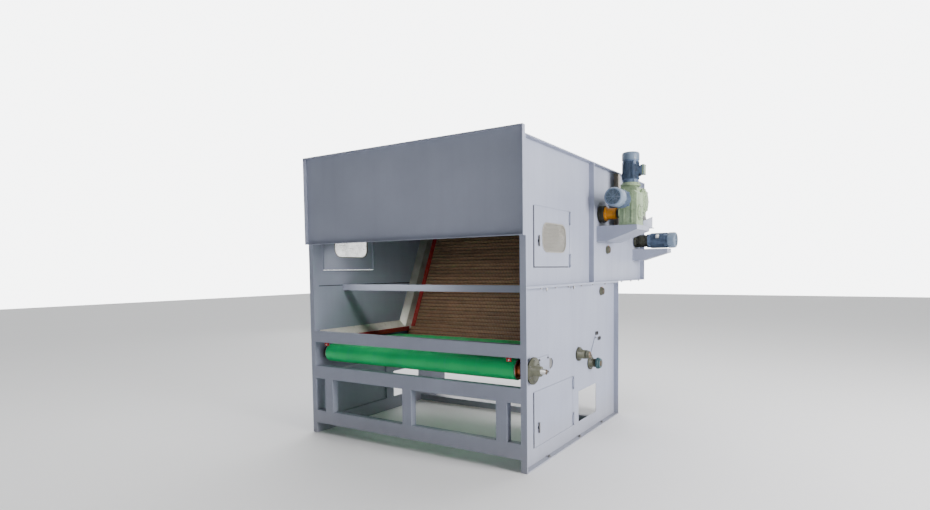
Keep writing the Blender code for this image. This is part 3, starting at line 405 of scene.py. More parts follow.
def make_finishes(c):
    """All the materials of the machine, by name. The record's slots are among the names."""
    enamel("panel_paint", c.paint)
    bare_metal("guide_steel", c.guide, 0.42, 0.20, (1, 0.3, 1), rust=0.25, shade_above=1.05)
    belting("feed_belt", c.belt)
    oiled_wood("slat_wood", c.wood)
    woven("lattice_canvas", c.canvas)
    bare_metal("roller_steel", c.steel, 0.32, 1.0, (1, 0.2, 0.2))
    bare_metal("spike_steel", tinted(c.steel, 0.55), 0.35, 0.9)
    bare_metal("shaft_steel", (0.080, 0.062, 0.040), 0.50, 0.35, (1, 0.2, 0.2), rust=0.5)
    bare_metal("bolt_steel", tinted(c.steel, 0.45), 0.40, 0.9, rust=0.25)
    casting("bearing_iron", c.iron, 0.42)
    casting("gear_green", c.gear)
    casting("motor_blue", c.motor, 0.38)
    enamel("motor_cowl", c.cowl, 0.34, 0.03, dust=False)
    casting("coupling_orange", c.coupling, 0.40)
    casting("collar_teal", c.collar, 0.40)
    casting("hub_dark", tinted(c.iron, 0.4), 0.45)
    rubber("gasket_grey", tinted(c.pane, 1.2), 0.5)
    bare_metal("handle_steel", tinted(c.steel, 0.55), 0.35, 0.8)
    bare_metal("shaft_tan", (0.24, 0.125, 0.050), 0.45, 0.4, rust=0.4)
    rubber("latch_black", (0.012, 0.012, 0.013), 0.35)
    rubber("seal_rubber", (0.016, 0.016, 0.017), 0.62)
    rubber("wiper_red", c.wiper, 0.50, 0.35)
    rubber("terminal_green", tinted(c.gear, 0.9), 0.45)
    bare_metal("copper", (0.52, 0.20, 0.09), 0.36, 1.0)
    bare_metal("plate_aluminium", (0.72, 0.72, 0.70), 0.35, 1.0, (1, 0.1, 1))
    enamel("trunking", c.trunking, 0.5, 0.10, dust=False)
    acrylic("window_glass", c.pane)


def made(name):
    """A finish that make_finishes has made."""
    return bpy.data.materials[f"{name}_finish"]


# Meshes


def link(name, mesh):
    piece = bpy.data.objects.new(name, mesh)
    bpy.context.scene.collection.objects.link(piece)
    return piece


def settle(piece, body):
    """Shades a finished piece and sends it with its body."""
    piece.data.shade_smooth()
    piece.data.set_sharp_from_angle(angle=SHARP)
    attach(piece, body)
    return piece


class Shape:
    """Closed shells gathered into one piece, each with its own material."""

    def __init__(self, name):
        self.name = name
        self.bm = bmesh.new()
        self.materials = []
        self.at = Matrix.Identity(4)

    def keep(self, faces, material, bevel=0.0):
        """Turns a shell's faces outward, gives them a material and bevels their sharp edges."""
        bmesh.ops.recalc_face_normals(self.bm, faces=faces)
        if material not in self.materials:
            self.materials.append(material)
        for face in faces:
            face.material_index = self.materials.index(material)
        if bevel:
            edges = dict.fromkeys(e for f in faces for e in f.edges if e.calc_face_angle(0.0) > SHARP)
            bmesh.ops.bevel(
                self.bm,
                geom=list(edges),
                offset=bevel,
                segments=2,
                affect="EDGES",
                profile=0.6,
                clamp_overlap=True,
            )
        return self

    def rings(self, rings, material, closed=False, bevel=0.0):
        """Skin over rings of local points, capped at its ends unless it closes on itself."""
        loops = [[self.bm.verts.new(self.at @ Vector(p)) for p in ring] for ring in rings]
        faces = []
        pairs = list(zip(loops, loops[1:]))
        if closed:
            pairs.append((loops[-1], loops[0]))
        else:
            faces += [self.bm.faces.new(loops[0]), self.bm.faces.new(reversed(loops[-1]))]
        for a, b in pairs:
            for i in range(len(a)):
                j = (i + 1) % len(a)
                faces.append(self.bm.faces.new((a[i], a[j], b[j], b[i])))
        return self.keep(faces, material, bevel)

    def block(self, low, high, material, bevel=0.002):
        x, y, z = zip(low, high)
        ring = [(x[0], y[0]), (x[1], y[0]), (x[1], y[1]), (x[0], y[1])]
        return self.rings([[(a, b, level) for a, b in ring] for level in z], material, bevel=bevel)

    def prism(self, outline, span, material, axis="X", bevel=0.0):
        """Prism along an axis of an outline in the other two, taken in the order X, Y, Z."""
        order = {
            "X": lambda a, b, t: (t, a, b),
            "Y": lambda a, b, t: (a, t, b),
            "Z": lambda a, b, t: (a, b, t),
        }[axis]
        return self.rings([[order(a, b, t) for a, b in outline] for t in span], material, bevel=bevel)

    def frame_ring(self, outer, inner, span, material):
        """Flat ring along X between two outlines of (y, z) points of the same number."""
        rings = []
        for (oy, oz), (iy, iz) in zip(outer, inner):
            rings.append([(span[0], oy, oz), (span[1], oy, oz), (span[1], iy, iz), (span[0], iy, iz)])
        return self.rings(rings, material, closed=True)

    def lathe(self, profile, material, sides=48, closed=False, bevel=0.0):
        """Piece turned about local Z, from (height, radius) points."""
        turn = 2 * math.pi / sides
        corners = [(math.cos(turn * i), math.sin(turn * i)) for i in range(sides)]
        rings = [[(r * a, r * b, h) for a, b in corners] for h, r in profile]
        return self.rings(rings, material, closed, bevel)

    def piece(self):
        mesh = bpy.data.meshes.new(self.name)
        self.bm.to_mesh(mesh)
        self.bm.free()
        for name in self.materials:
            mesh.materials.append(made(name))
        return link(self.name, mesh)

    def done(self, body=MACHINE, slot=None):
        return settle(self.piece(), body)


def rounded(y, z, radius, sides=8):
    """Outline of a rectangle with round corners."""
    points = []
    corners = ((max(y), max(z), 0), (min(y), max(z), 90), (min(y), min(z), 180), (max(y), min(z), 270))
    for a, b, start in corners:
        centre = (a - math.copysign(radius, a - sum(y) / 2), b - math.copysign(radius, b - sum(z) / 2))
        for step in range(sides + 1):
            angle = math.radians(start + 90 * step / sides)
            points.append((centre[0] + radius * math.cos(angle), centre[1] + radius * math.sin(angle)))
    return points


def grown(limits, margin):
    return (min(limits) - margin, max(limits) + margin)


def turned_to(direction, place):
    """Placement whose local Z points in a direction."""
    return Matrix.Translation(place) @ Vector(direction).to_track_quat("Z", "Y").to_matrix().to_4x4()


def round_about(place, number, first=0.0):
    """Placements evenly round the local Z of a placement, the first turned by an angle in degrees."""
    angles = [math.radians(first + 360 / number * turn) for turn in range(number)]
    return [place @ Matrix.Rotation(angle, 4, "Z") for angle in angles]


def smooth_copy(node, material):
    """Fine-shaded copy of a CAD node, in its stead."""
    source = frame["nodes"][node]
    bm = bmesh.new()
    bm.from_mesh(source.data)
    bmesh.ops.remove_doubles(bm, verts=bm.verts, dist=0.00005)
    mesh = bpy.data.meshes.new(f"{node}_surface")
    bm.to_mesh(mesh)
    bm.free()
    mesh.materials.append(made(material))
    if material == "roller_steel":
        mesh.materials.append(made("shaft_steel"))
        for face in mesh.polygons:
            face.material_index = int(abs(face.center.x) > SKIN - WALL_SHEET)
    piece = settle(link(f"{node}_surface", mesh), source["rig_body"])
    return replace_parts(piece, node)


# Geometry Nodes


def node_tree(name, inputs):
    """Empty geometry tree with named inputs, and its plan, input wires and output socket."""
    tree = bpy.data.node_groups.new(name, "GeometryNodeTree")
    tree.interface.new_socket("Geometry", in_out="INPUT", socket_type="NodeSocketGeometry")
    for label, kind, default in inputs:
        socket = tree.interface.new_socket(label, in_out="INPUT", socket_type=f"NodeSocket{kind}")
        if default is not None:
            socket.default_value = default
    tree.interface.new_socket("Geometry", in_out="OUTPUT", socket_type="NodeSocketGeometry")
    plan = Plan(tree)
    source = tree.nodes.new("NodeGroupInput")
    wires = {socket.name: Wire(plan, socket) for socket in source.outputs if socket.name}
    return tree, plan, wires


def close_tree(tree, plan, geometry, material):
    """Ends a tree with Realize Instances and Set Material."""
    solid = plan.node("GeometryNodeRealizeInstances", None, {0: geometry})
    coloured = plan.node("GeometryNodeSetMaterial", None, {"Geometry": solid, "Material": material})
    output = tree.nodes.new("NodeGroupOutput")
    tree.links.new(coloured.socket, output.inputs[0])
    return tree


def transformed(plan, geometry, **sockets):
    named = {name.title(): value for name, value in sockets.items()}
    return plan.node("GeometryNodeTransform", None, {"Geometry": geometry, **named})


def vector(plan, x=0.0, y=0.0, z=0.0):
    return plan.node("ShaderNodeCombineXYZ", None, {0: x, 1: y, 2: z})


def facing_rotation(plan):
    """Rotation that turns Z to the direction each point carries."""
    facing = plan.node("GeometryNodeInputNamedAttribute", {"data_type": "FLOAT_VECTOR"}, {"Name": "facing"})
    return plan.node("FunctionNodeAlignRotationToVector", {"axis": "Z"}, {"Vector": facing})


def bolt_tree():
    """A washer and a hexagon head on every point."""
    tree, plan, wires = node_tree(
        "bolts",
        [
            ("Radius", "Float", 0.0095),
            ("Height", "Float", 0.006),
            ("Washer", "Float", 0.002),
            ("Sides", "Int", 6),
            ("Material", "Material", None),
        ],
    )
    head = plan.node(
        "GeometryNodeMeshCylinder",
        None,
        {"Vertices": wires["Sides"], "Radius": wires["Radius"], "Depth": wires["Height"]},
    )
    head = transformed(plan, head, translation=vector(plan, z=wires["Washer"] + wires["Height"] / 2))
    washer = plan.node(
        "GeometryNodeMeshCylinder",
        None,
        {"Vertices": 14, "Radius": wires["Radius"] * 1.35, "Depth": wires["Washer"]},
    )
    washer = transformed(plan, washer, translation=vector(plan, z=wires["Washer"] / 2))
    shank = plan.node(
        "GeometryNodeMeshCylinder",
        None,
        {"Vertices": 10, "Radius": wires["Radius"] * 0.5, "Depth": wires["Height"] * 0.5},
    )
    shank = transformed(plan, shank, translation=vector(plan, z=wires["Washer"] + wires["Height"] * 1.2))
    bolt = plan.node("GeometryNodeJoinGeometry", None, {0: [head, washer, shank]})
    sockets = {"Points": wires["Geometry"], "Instance": bolt, "Rotation": facing_rotation(plan)}
    placed = plan.node("GeometryNodeInstanceOnPoints", None, sockets)
    return close_tree(tree, plan, placed, wires["Material"])


def pin_tree():
    """A pointed pin on every point."""
    tree, plan, wires = node_tree(
        "pins",
        [
            ("Length", "Float", 0.02),
            ("Root", "Float", 0.002),
            ("Tip", "Float", 0.0),
            ("Sides", "Int", 4),
            ("Material", "Material", None),
        ],
    )
    sockets = {
        "Vertices": wires["Sides"],
        "Radius Top": wires["Tip"],
        "Radius Bottom": wires["Root"],
        "Depth": wires["Length"],
    }
    pin = plan.node("GeometryNodeMeshCone", None, sockets)
    sockets = {"Points": wires["Geometry"], "Instance": pin, "Rotation": facing_rotation(plan)}
    placed = plan.node("GeometryNodeInstanceOnPoints", None, sockets)
    return close_tree(tree, plan, placed, wires["Material"])


def slat_tree():
    """Copies of a piece at even steps along a closed path in the plane across X."""
    tree, plan, wires = node_tree(
        "slats", [("Count", "Int", 108), ("Piece", "Object", None), ("Material", "Material", None)]
    )
    path = plan.node("GeometryNodeMeshToCurve", None, {"Mesh": wires["Geometry"]})
    steps = plan.node("GeometryNodeResampleCurve", None, {"Curve": path, "Count": wires["Count"]})
    tangent = plan.node("GeometryNodeInputTangent")
    y = plan.node("ShaderNodeSeparateXYZ", None, {0: tangent}, "Y")
    z = plan.node("ShaderNodeSeparateXYZ", None, {0: tangent}, "Z")
    turn = vector(plan, x=y.maths("ARCTAN2", z, y))
    piece = plan.node("GeometryNodeObjectInfo", None, {"Object": wires["Piece"]}, "Geometry")
    sockets = {"Points": steps, "Instance": piece, "Rotation": turn}
    placed = plan.node("GeometryNodeInstanceOnPoints", None, sockets)
    return close_tree(tree, plan, placed, wires["Material"])


def fin_tree():
    """Cooling fins round local Z, rooted in a motor's barrel."""
    tree, plan, wires = node_tree(
        "fins",
        [
            ("Fins", "Int", 40),
            ("Radius", "Float", 0.08),
            ("Height", "Float", 0.01),
            ("Thickness", "Float", 0.003),
            ("Length", "Float", 0.2),
            ("Start", "Float", 0.0),
            ("Material", "Material", None),
        ],
    )
    sockets = {"Vertices": wires["Fins"], "Radius": wires["Radius"] + wires["Height"] / 2}
    ring = plan.node("GeometryNodeMeshCircle", None, sockets)
    bar = vector(plan, wires["Height"], wires["Thickness"], wires["Length"])
    fin = plan.node("GeometryNodeMeshCube", None, {"Size": bar})
    place = plan.node("GeometryNodeInputPosition")
    turn = plan.node("FunctionNodeAlignRotationToVector", {"axis": "X"}, {"Vector": place})
    sockets = {"Points": ring, "Instance": fin, "Rotation": turn}
    fins = plan.node("GeometryNodeInstanceOnPoints", None, sockets)
    lifted = transformed(plan, fins, translation=vector(plan, z=wires["Start"] + wires["Length"] / 2))
    return close_tree(tree, plan, lifted, wires["Material"])


def grille_tree():
    """Wire rings and spokes over a fan's intake, about local Z."""
    tree, plan, wires = node_tree(
        "grille",
        [
            ("Rings", "Int", 5),
            ("Spokes", "Int", 12),
            ("Radius", "Float", 0.07),
            ("Wire", "Float", 0.0012),
            ("Material", "Material", None),
        ],
    )
    index = plan.node("GeometryNodeInputIndex")
    rings = plan.node("GeometryNodeMeshLine", None, {"Count": wires["Rings"], "Offset": (0, 0, 0)})
    loop = plan.node("GeometryNodeCurvePrimitiveCircle", None, {"Resolution": 36, "Radius": wires["Radius"]})
    share = (index + 1.0) / wires["Rings"]
    sockets = {"Points": rings, "Instance": loop, "Scale": vector(plan, share, share, share)}
    loops = plan.node("GeometryNodeInstanceOnPoints", None, sockets)
    hubs = plan.node("GeometryNodeMeshLine", None, {"Count": wires["Spokes"], "Offset": (0, 0, 0)})
    spoke = plan.node("GeometryNodeCurvePrimitiveLine", None, {"End": vector(plan, x=wires["Radius"])})
    turn = vector(plan, z=index / wires["Spokes"] * (2 * math.pi))
    sockets = {"Points": hubs, "Instance": spoke, "Rotation": turn}
    spokes = plan.node("GeometryNodeInstanceOnPoints", None, sockets)
    wirework = plan.node("GeometryNodeJoinGeometry", None, {0: [loops, spokes]})
    lines = plan.node("GeometryNodeRealizeInstances", None, {0: wirework})
    section = plan.node("GeometryNodeCurvePrimitiveCircle", None, {"Resolution": 5, "Radius": wires["Wire"]})
    solid = plan.node("GeometryNodeCurveToMesh", None, {"Curve": lines, "Profile Curve": section})
    return close_tree(tree, plan, solid, wires["Material"])


def grown_by(tree, name, mesh, **inputs):
    """The plain mesh object that a tree makes of a mesh."""
    piece = link(name, mesh)
    modifier = piece.modifiers.new("Nodes", "NODES")
    modifier.node_group = tree
    for item in tree.interface.items_tree:
        if item.in_out == "INPUT" and item.name in inputs:
            modifier[item.identifier] = inputs[item.name]
    evaluated = piece.evaluated_get(bpy.context.evaluated_depsgraph_get())
    result = bpy.data.meshes.new_from_object(evaluated)
    piece.modifiers.remove(modifier)
    piece.data = result
    result.name = name
    return piece


def tree_of(build):
    """The node tree that a function builds, built once and named after the function."""
    tree = bpy.data.node_groups.get(build.__name__)
    if tree is None:
        tree = build()
        tree.name = build.__name__
    return tree


def point_mesh(name, places):
    """Loose points with the direction that each one faces, from (place, direction) pairs."""
    mesh = bpy.data.meshes.new(name)
    mesh.from_pydata([tuple(place) for place, _ in places], [], [])
    facing = mesh.attributes.new("facing", "FLOAT_VECTOR", "POINT")
    for item, (_, direction) in zip(facing.data, places):
        item.vector = direction
    return mesh


def bolts(name, places, radius, height=None, body=MACHINE, sides=6, material="bolt_steel"):
    """Bolt or screw heads at (place, direction) pairs."""
    piece = grown_by(
        tree_of(bolt_tree),
        name,
        point_mesh(name, places),
        Radius=radius,
        Height=height or radius * 0.75,
        Washer=radius * 0.22,
        Sides=sides,
        Material=made(material),
    )
    settle(piece, body)


def round_axis(x, axis, radius, number, first=0.0, side=1):
    """(place, direction) pairs of bolts evenly round an axis along X, the first at an angle in degrees."""
    pairs = []
    for turn in range(number):
        angle = math.radians(first + 360 / number * turn)
        place = (x, axis.y + radius * math.cos(angle), axis.z + radius * math.sin(angle))
        pairs.append((Vector(place), (side, 0, 0)))
    return pairs


def empty_mesh(name):
    return bpy.data.meshes.new(name)


# Spiked lattice


def lattice_loop(radius, arc_steps=40, run_steps=60):
    """Points of the lattice's path at a distance from its axes, up the front and down the back."""
    run = LATTICE_HEAD - LATTICE_FOOT
    along = run.normalized()
    out = Vector((0, -along.z, along.y))
    points = []
    for start, base in ((LATTICE_FOOT + out * radius, run), (LATTICE_HEAD - out * radius, -run)):
        points += [start + base * step / run_steps for step in range(run_steps)]
        centre = start + base - out * radius * (1 if base == run else -1)
        spoke = out if base == run else -out
        ahead = along if base == run else -along
        for step in range(arc_steps):
            angle = math.pi * step / arc_steps
            points.append(centre + (spoke * math.cos(angle) + ahead * math.sin(angle)) * radius)
    return points


def loop_mesh(name, points):
    mesh = bpy.data.meshes.new(name)
    edges = [(i, (i + 1) % len(points)) for i in range(len(points))]
    mesh.from_pydata([tuple(point) for point in points], edges, [])
    return mesh


class FEEDER_OT_lattice(bpy.types.Operator):
    """Canvas, slats and spikes of the inclined lattice"""

    bl_idname = "feeder.lattice"
    bl_label = "Spiked Lattice"

    def execute(self, context):
        s = context.scene.feeder_sizes
        base_r = LATTICE_FACE - s.slat_height
        self.canvas(base_r, s.canvas)
        self.slats(base_r, s)
        self.spikes(s)
        return {"FINISHED"}

    def canvas(self, radius, thickness):
        outer = lattice_loop(radius)
        inner = lattice_loop(radius - thickness)
        half = LATTICE_HALF - 0.006
        rings = []
        for o, i in zip(outer, inner):
            rings.append([(-half, *o.yz), (half, *o.yz), (half, *i.yz), (-half, *i.yz)])
        shape = Shape("lattice_canvas_band")
        shape.rings(rings, "lattice_canvas", closed=True)
        shape.done(slot="slat_wood")

    def slats(self, radius, s):
        half = s.slat_width / 2
        draft = 0.003
        outline = [(-half, 0), (half, 0), (half - draft, s.slat_height), (draft - half, s.slat_height)]
        slat = Shape("slat").prism(outline, (-LATTICE_HALF, LATTICE_HALF), "slat_wood", bevel=0.0018).piece()
        path = loop_mesh("lattice_slats", lattice_loop(radius))
        piece = grown_by(
            tree_of(slat_tree),
            "lattice_slats",
            path,
            Count=s.slat_count,
            Piece=slat,
            Material=made("slat_wood"),
        )
        bpy.data.objects.remove(slat)
        settle(piece, MACHINE)
        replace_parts(piece, "spiked_lattice")

    def spikes(self, s):
        """One row on each slat, every second row set half a step aside."""
        path = lattice_loop(LATTICE_FACE - 0.002, 64, 400)
        lengths = [0.0]
        for a, b in zip(path, path[1:] + path[:1]):
            lengths.append(lengths[-1] + (b - a).length)
        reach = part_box("apron_guide_right")[0].x - 0.008
        step = 2 * reach / s.spikes_per_slat
        places = []
        cursor = 0
        for slat in range(s.slat_count):
            travel = lengths[-1] * slat / s.slat_count
            while lengths[cursor + 1] < travel:
                cursor += 1
            start = path[cursor]
            ahead = (path[(cursor + 1) % len(path)] - start).normalized()
            spot = start + ahead * (travel - lengths[cursor])
            out = Vector((0, -ahead.z, ahead.y))
            lean = out * math.cos(s.spike_lean) + ahead * math.sin(s.spike_lean)
            for number in range(s.spikes_per_slat):
                x = -reach + step * (number + 0.25 + 0.5 * (slat % 2))
                places.append((Vector((x, spot.y, spot.z)), lean))
        piece = grown_by(
            tree_of(pin_tree),
            "lattice_spikes",
            point_mesh("lattice_spikes", places),
            Length=s.spike_length + 0.002,
            Root=s.spike_radius,
            Tip=0.0,
            Sides=4,
            Material=made("spike_steel"),
        )
        settle(piece, MACHINE)


# Feed apron and guides


class FEEDER_OT_apron(bpy.types.Operator):
    """Feed belt, roller ends, red wiper strips and the clips under the feed lip"""

    bl_idname = "feeder.apron"
    bl_label = "Feed Apron"

    def execute(self, context):
        s = context.scene.feeder_sizes
        self.belt()
        for node in ("apron_front_roller", "apron_drive_roller"):
            smooth_copy(node, "roller_steel")
        self.roller_ends()
        self.wipers(s)
        self.clips()
        return {"FINISHED"}

    def belt(self):
        low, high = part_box("feed_belt")
        front = AXES["apron_front_spin"]
        rear = AXES["apron_drive_spin"]
        outer_r = front.y - low.y
        sides = 40
        rings = []
        for centre, turn in ((rear, 0.0), (front, math.pi)):
            for step in range(sides + 1):
                angle = turn + math.pi * step / sides
                spoke = Vector((0, math.sin(angle), math.cos(angle)))
                ring = []
                for x, depth in (
                    (low.x, 0.0015),
                    (low.x + 0.0015, 0.0),
                    (high.x - 0.0015, 0.0),
                    (high.x, 0.0015),
                    (high.x, 0.0036),
                    (low.x, 0.0036),
                ):
                    point = centre + spoke * (outer_r - depth)
                    ring.append((x, point.y, point.z))
                rings.append(ring)
        piece = Shape("feed_belt_band").rings(rings, "feed_belt", closed=True).done()
        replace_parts(piece, "feed_belt")

    def roller_ends(self):
        """Black disc at the left end, painted shade of the roller on the wall, and copper earthing ring at
        the right.
        """
        axis = AXES["apron_front_spin"]
        low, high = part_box("feed_belt")
        # black disc where the roller's shadow falls on the left wall: painted shade
        inner_left = Shape("apron_roller_seal")
        inner_left.at = turned_to((1, 0, 0), (low.x - 0.052, axis.y, axis.z))
        profile = [(0.0, 0.030), (0.0, 0.066), (0.010, 0.072), (0.040, 0.072), (0.040, 0.030)]
        inner_left.lathe(profile, "seal_rubber", closed=True)
        inner_left.done("apron_front_spool", "latch_black")
        ring = Shape("apron_roller_collar")
        ring.at = turned_to((1, 0, 0), (high.x + 0.012, axis.y, axis.z))
        profile = [(0.0, 0.030), (0.0, 0.060), (0.006, 0.064), (0.032, 0.064)]
        profile += [(0.040, 0.056), (0.040, 0.030)]
        ring.lathe(profile, "copper", closed=True)
        face = [(-0.0035, 0.030), (-0.0035, 0.0795), (-0.001, 0.081), (0.0015, 0.0795), (0.0015, 0.030)]
        ring.lathe(face, "copper", closed=True)
        ring.done("apron_front_spool", "bearing_iron")

    def wipers(self, s):
        """Red strips along the inner edges of the apron guides and the lattice guides."""
        for side, label in SIDES:
            low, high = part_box(f"apron_guide_{label}")
            inner = (low.x if side > 0 else high.x) - side * 0.001
            strip = Shape(f"apron_wiper_{label}")
            x = sorted((inner, inner - side * s.strip_thickness))
            foot = (x[0], low.y + 0.02, low.z - 0.020)
            head = (x[1], high.y - 0.04, low.z + 0.030)
            strip.block(foot, head, "wiper_red", 0.0015)
            strip.done(slot="feed_belt")
            self.lattice_wiper(s, side, label, inner)

    def lattice_wiper(self, s, side, label, inner):
        """Strip on the slats' side of a lattice guide, from the apron to the guide's head."""
        low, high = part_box(f"lattice_guide_{label}")
        run = (LATTICE_HEAD - LATTICE_FOOT).normalized()
        out = Vector((0, -run.z, run.y))
        face = LATTICE_FOOT + out * (LATTICE_FACE + 0.004)
        first = face + run * ((low.z + 0.02 - face.z) / run.z)
        last = face + run * ((high.z - face.z) / run.z)
        x = (inner + side * 0.004, inner + side * (0.004 - s.strip_width))
        rings = []
        for spot in (first, last):
            a = spot
            b = spot + out * s.strip_thickness
            rings.append([(x[0], a.y, a.z), (x[1], a.y, a.z), (x[1], b.y, b.z), (x[0], b.y, b.z)])
        strip = Shape(f"lattice_wiper_{label}").rings(rings, "wiper_red", bevel=0.0015)
        strip.done(slot="feed_belt")

    def clips(self):
        """Two red clips under the feed lip, each with its screw."""
        low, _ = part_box("feed_lip_beam")
        places = []
        for x in (-0.993, 1.045):
            clip = Shape(f"lip_clip_{'right' if x > 0 else 'left'}")
            foot = (x - 0.018, FRONT - 0.006, low.z - 0.031)
            clip.block(foot, (x + 0.018, FRONT + 0.020, low.z - 0.001), "wiper_red")
            clip.done(slot="feed_belt")
            places.append((Vector((x + 0.007, FRONT - 0.006, low.z - 0.017)), (0, -1, 0)))
        bolts("lip_clip_screws", places, 0.005, sides=12, material="plate_aluminium")


# Rollers


class FEEDER_OT_rollers(bpy.types.Operator):
    """Rollers, shafts and the evener's pins"""

    bl_idname = "feeder.rollers"
    bl_label = "Rollers"

    def execute(self, context):
        s = context.scene.feeder_sizes
        for node in (
            "lattice_bottom_drum",
            "lattice_lower_carrier",
            "lattice_upper_carrier",
            "lattice_top_drum",
            "evener_roller",
            "stripping_roller",
            "delivery_roller",
        ):
            smooth_copy(node, "roller_steel")
        self.pins(s)
        return {"FINISHED"}

    def pins(self, s):
        """Blunt pins in staggered rows round the evener."""
        axis = AXES["evener_spin"]
        root_radius = 0.099  # just inside the roller's face
        reach = -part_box("evener_roller")[0].x - 0.18
        places = []
        for row in range(s.evener_rows):
            angle = 2 * math.pi * row / s.evener_rows
            spoke = Vector((0, math.cos(angle), math.sin(angle)))
            for pin in range(s.evener_pins):
                x = -reach + 2 * reach * (pin + 0.25 + 0.5 * (row % 2)) / s.evener_pins
                places.append((Vector((x, axis.y, axis.z)) + spoke * root_radius, spoke))
        piece = grown_by(
            tree_of(pin_tree),
            "evener_pins",
            point_mesh("evener_pins", places),
            Length=s.evener_pin,
            Root=0.0032,
            Tip=0.0012,
            Sides=6,
            Material=made("spike_steel"),
        )
        settle(piece, "evener")


# Doors


class FEEDER_OT_doors(bpy.types.Operator):
    """Window gaskets, door seals, hinges and latches"""

    bl_idname = "feeder.doors"
    bl_label = "Doors"

    def execute(self, context):
        s = context.scene.feeder_sizes
        for side, label in SIDES:
            self.gasket(s, side, label)
            for level in ("upper", "lower"):
                self.seal(side, label, level)
                self.edge_trim(side, label, level)
                self.hinges(side, label, level)
                self.latch(side, label, level)
        return {"FINISHED"}

    def gasket(self, s, side, label):
        """Rubber rings round a window, on both faces of its door."""
        low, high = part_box(f"upper_door_window_{label}")
        y = (low.y, high.y)
        z = (low.z, high.z)
        corner = 0.085
        shape = Shape(f"window_gasket_{label}")
        outer = rounded(grown(y, s.gasket / 2), grown(z, s.gasket / 2), corner + s.gasket / 2)
        inner = rounded(grown(y, -s.gasket / 2), grown(z, -s.gasket / 2), corner - s.gasket / 2)
        outside = (SKIN - 0.0003, SKIN + 0.003)
        inside = (SKIN - 0.0075, SKIN - 0.0043)
        for start, end in (outside, inside):
            shape.frame_ring(outer, inner, sorted((side * start, side * end)), "gasket_grey")
        shape.done(f"upper_door_leaf_{label}", "latch_black")

    def opening(self, label, level):
        """Limits of a door's leaf in Y and Z."""
        hinge = AXES[f"{level}_door_hinge_{label}"]
        low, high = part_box(f"{level}_door_{label}")
        return (low.y, hinge.y - 0.0025), (low.z, high.z)

    def seal(self, side, label, level):
        """Strip on the wall's inner face that covers the gap round a door."""
        y, z = self.opening(label, level)
        rings = [
            [(y[0] - m, z[0] - m), (y[1] + m, z[0] - m), (y[1] + m, z[1] + m), (y[0] - m, z[1] + m)]
            for m in (0.011, 0.0012)
        ]
        shape = Shape(f"{level}_door_seal_{label}")
        shape.frame_ring(*rings, sorted((side * (SKIN - 0.0044), side * (SKIN - 0.0064))), "panel_paint")
        shape.done(slot="panel_paint")

    def edge_trim(self, side, label, level):
        """Black rubber strip on a door's opening edge, and along the upper door's foot: painted shade of the
        door's gap.
        """
        y, z = self.opening(label, level)
        shape = Shape(f"{level}_door_trim_{label}")
        x = sorted((side * (SKIN - 0.0002), side * (SKIN + 0.0026)))
        corner = (x[0], y[0] + 0.001, z[0] + 0.001)
        # black strips only on the gap's shaded edges: painted shade
        shape.block(corner, (x[1], y[0] + 0.013, z[1] - 0.001), "seal_rubber", 0.0008)
        if level == "upper":
            corner = (x[0], y[0] + 0.0135, z[0] + 0.001)
            shape.block(corner, (x[1], y[1] - 0.030, z[0] + 0.008), "seal_rubber", 0.0008)
        shape.done(f"{level}_door_leaf_{label}", "latch_black")

    def hinges(self, side, label, level):
        """Wall leaf, its two knuckles and the pin of each hinge."""
        axis = AXES[f"{level}_door_hinge_{label}"]
        _, z = self.opening(label, level)
        shape = Shape(f"{level}_door_hinge_leaves_{label}")
        screws = []
        knuckle = [(-0.0105, 0.0075), (-0.010, 0.008), (0.010, 0.008), (0.0105, 0.0075)]
        pin_head = [(0.0575, 0.0035), (0.0575, 0.0055), (0.061, 0.0045), (0.062, 0.002)]
        leaf = SKIN + 0.0034
        for middle in (min(z) + 0.060, max(z) - 0.060):
            x = sorted((side * (SKIN + LIFT), side * leaf))
            foot = (x[0], axis.y + 0.007, middle - 0.057)
            shape.block(foot, (x[1], axis.y + 0.040, middle + 0.057), "panel_paint", 0.001)
            for centre in (middle - 0.047, middle + 0.047):
                shape.at = turned_to((0, 0, 1), (axis.x, axis.y, centre))
                shape.lathe(knuckle, "panel_paint", 20)
                shape.at = Matrix.Identity(4)
                foot = (x[0], axis.y, centre - 0.0095)
                shape.block(foot, (x[1], axis.y + 0.012, centre + 0.0095), "panel_paint", 0.0)
            shape.at = turned_to((0, 0, 1), (axis.x, axis.y, middle))
            shape.lathe(pin_head, "bolt_steel", 16)
            shape.at = Matrix.Identity(4)
            for height in (-0.035, 0.0, 0.035):
                place = Vector((side * leaf, axis.y + 0.025, middle + height))
                screws.append((place, (side, 0, 0)))
        shape.done(slot="panel_paint")
        bolts(f"{level}_door_hinge_screws_{label}", screws, 0.0042, sides=12)

    def latch(self, side, label, level):
        """Flat handle turned on a boss."""
        node = f"{level}_latch_{label}"
        axis = AXES[f"{level}_latch_turn_{label}"]
        handle = Shape(f"{node}_handle")
        handle.at = turned_to((side, 0, 0), (side * (SKIN + 0.0010), axis.y, axis.z))
        handle.lathe([(0.0, 0.0125), (0.008, 0.0118), (0.0105, 0.0095), (0.0110, 0.006)], "latch_black", 32)
        handle.at = Matrix.Identity(4)
        outline = rounded(grown((axis.y, axis.y), 0.0095), grown((axis.z, axis.z), 0.045), 0.009)
        span = sorted((side * (SKIN + 0.006), side * (SKIN + 0.0145)))
        handle.prism(outline, span, "handle_steel", bevel=0.003)
        piece = handle.done(f"{level}_latch_handle_{label}", "latch_black")
        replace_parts(piece, node)


# Bearings


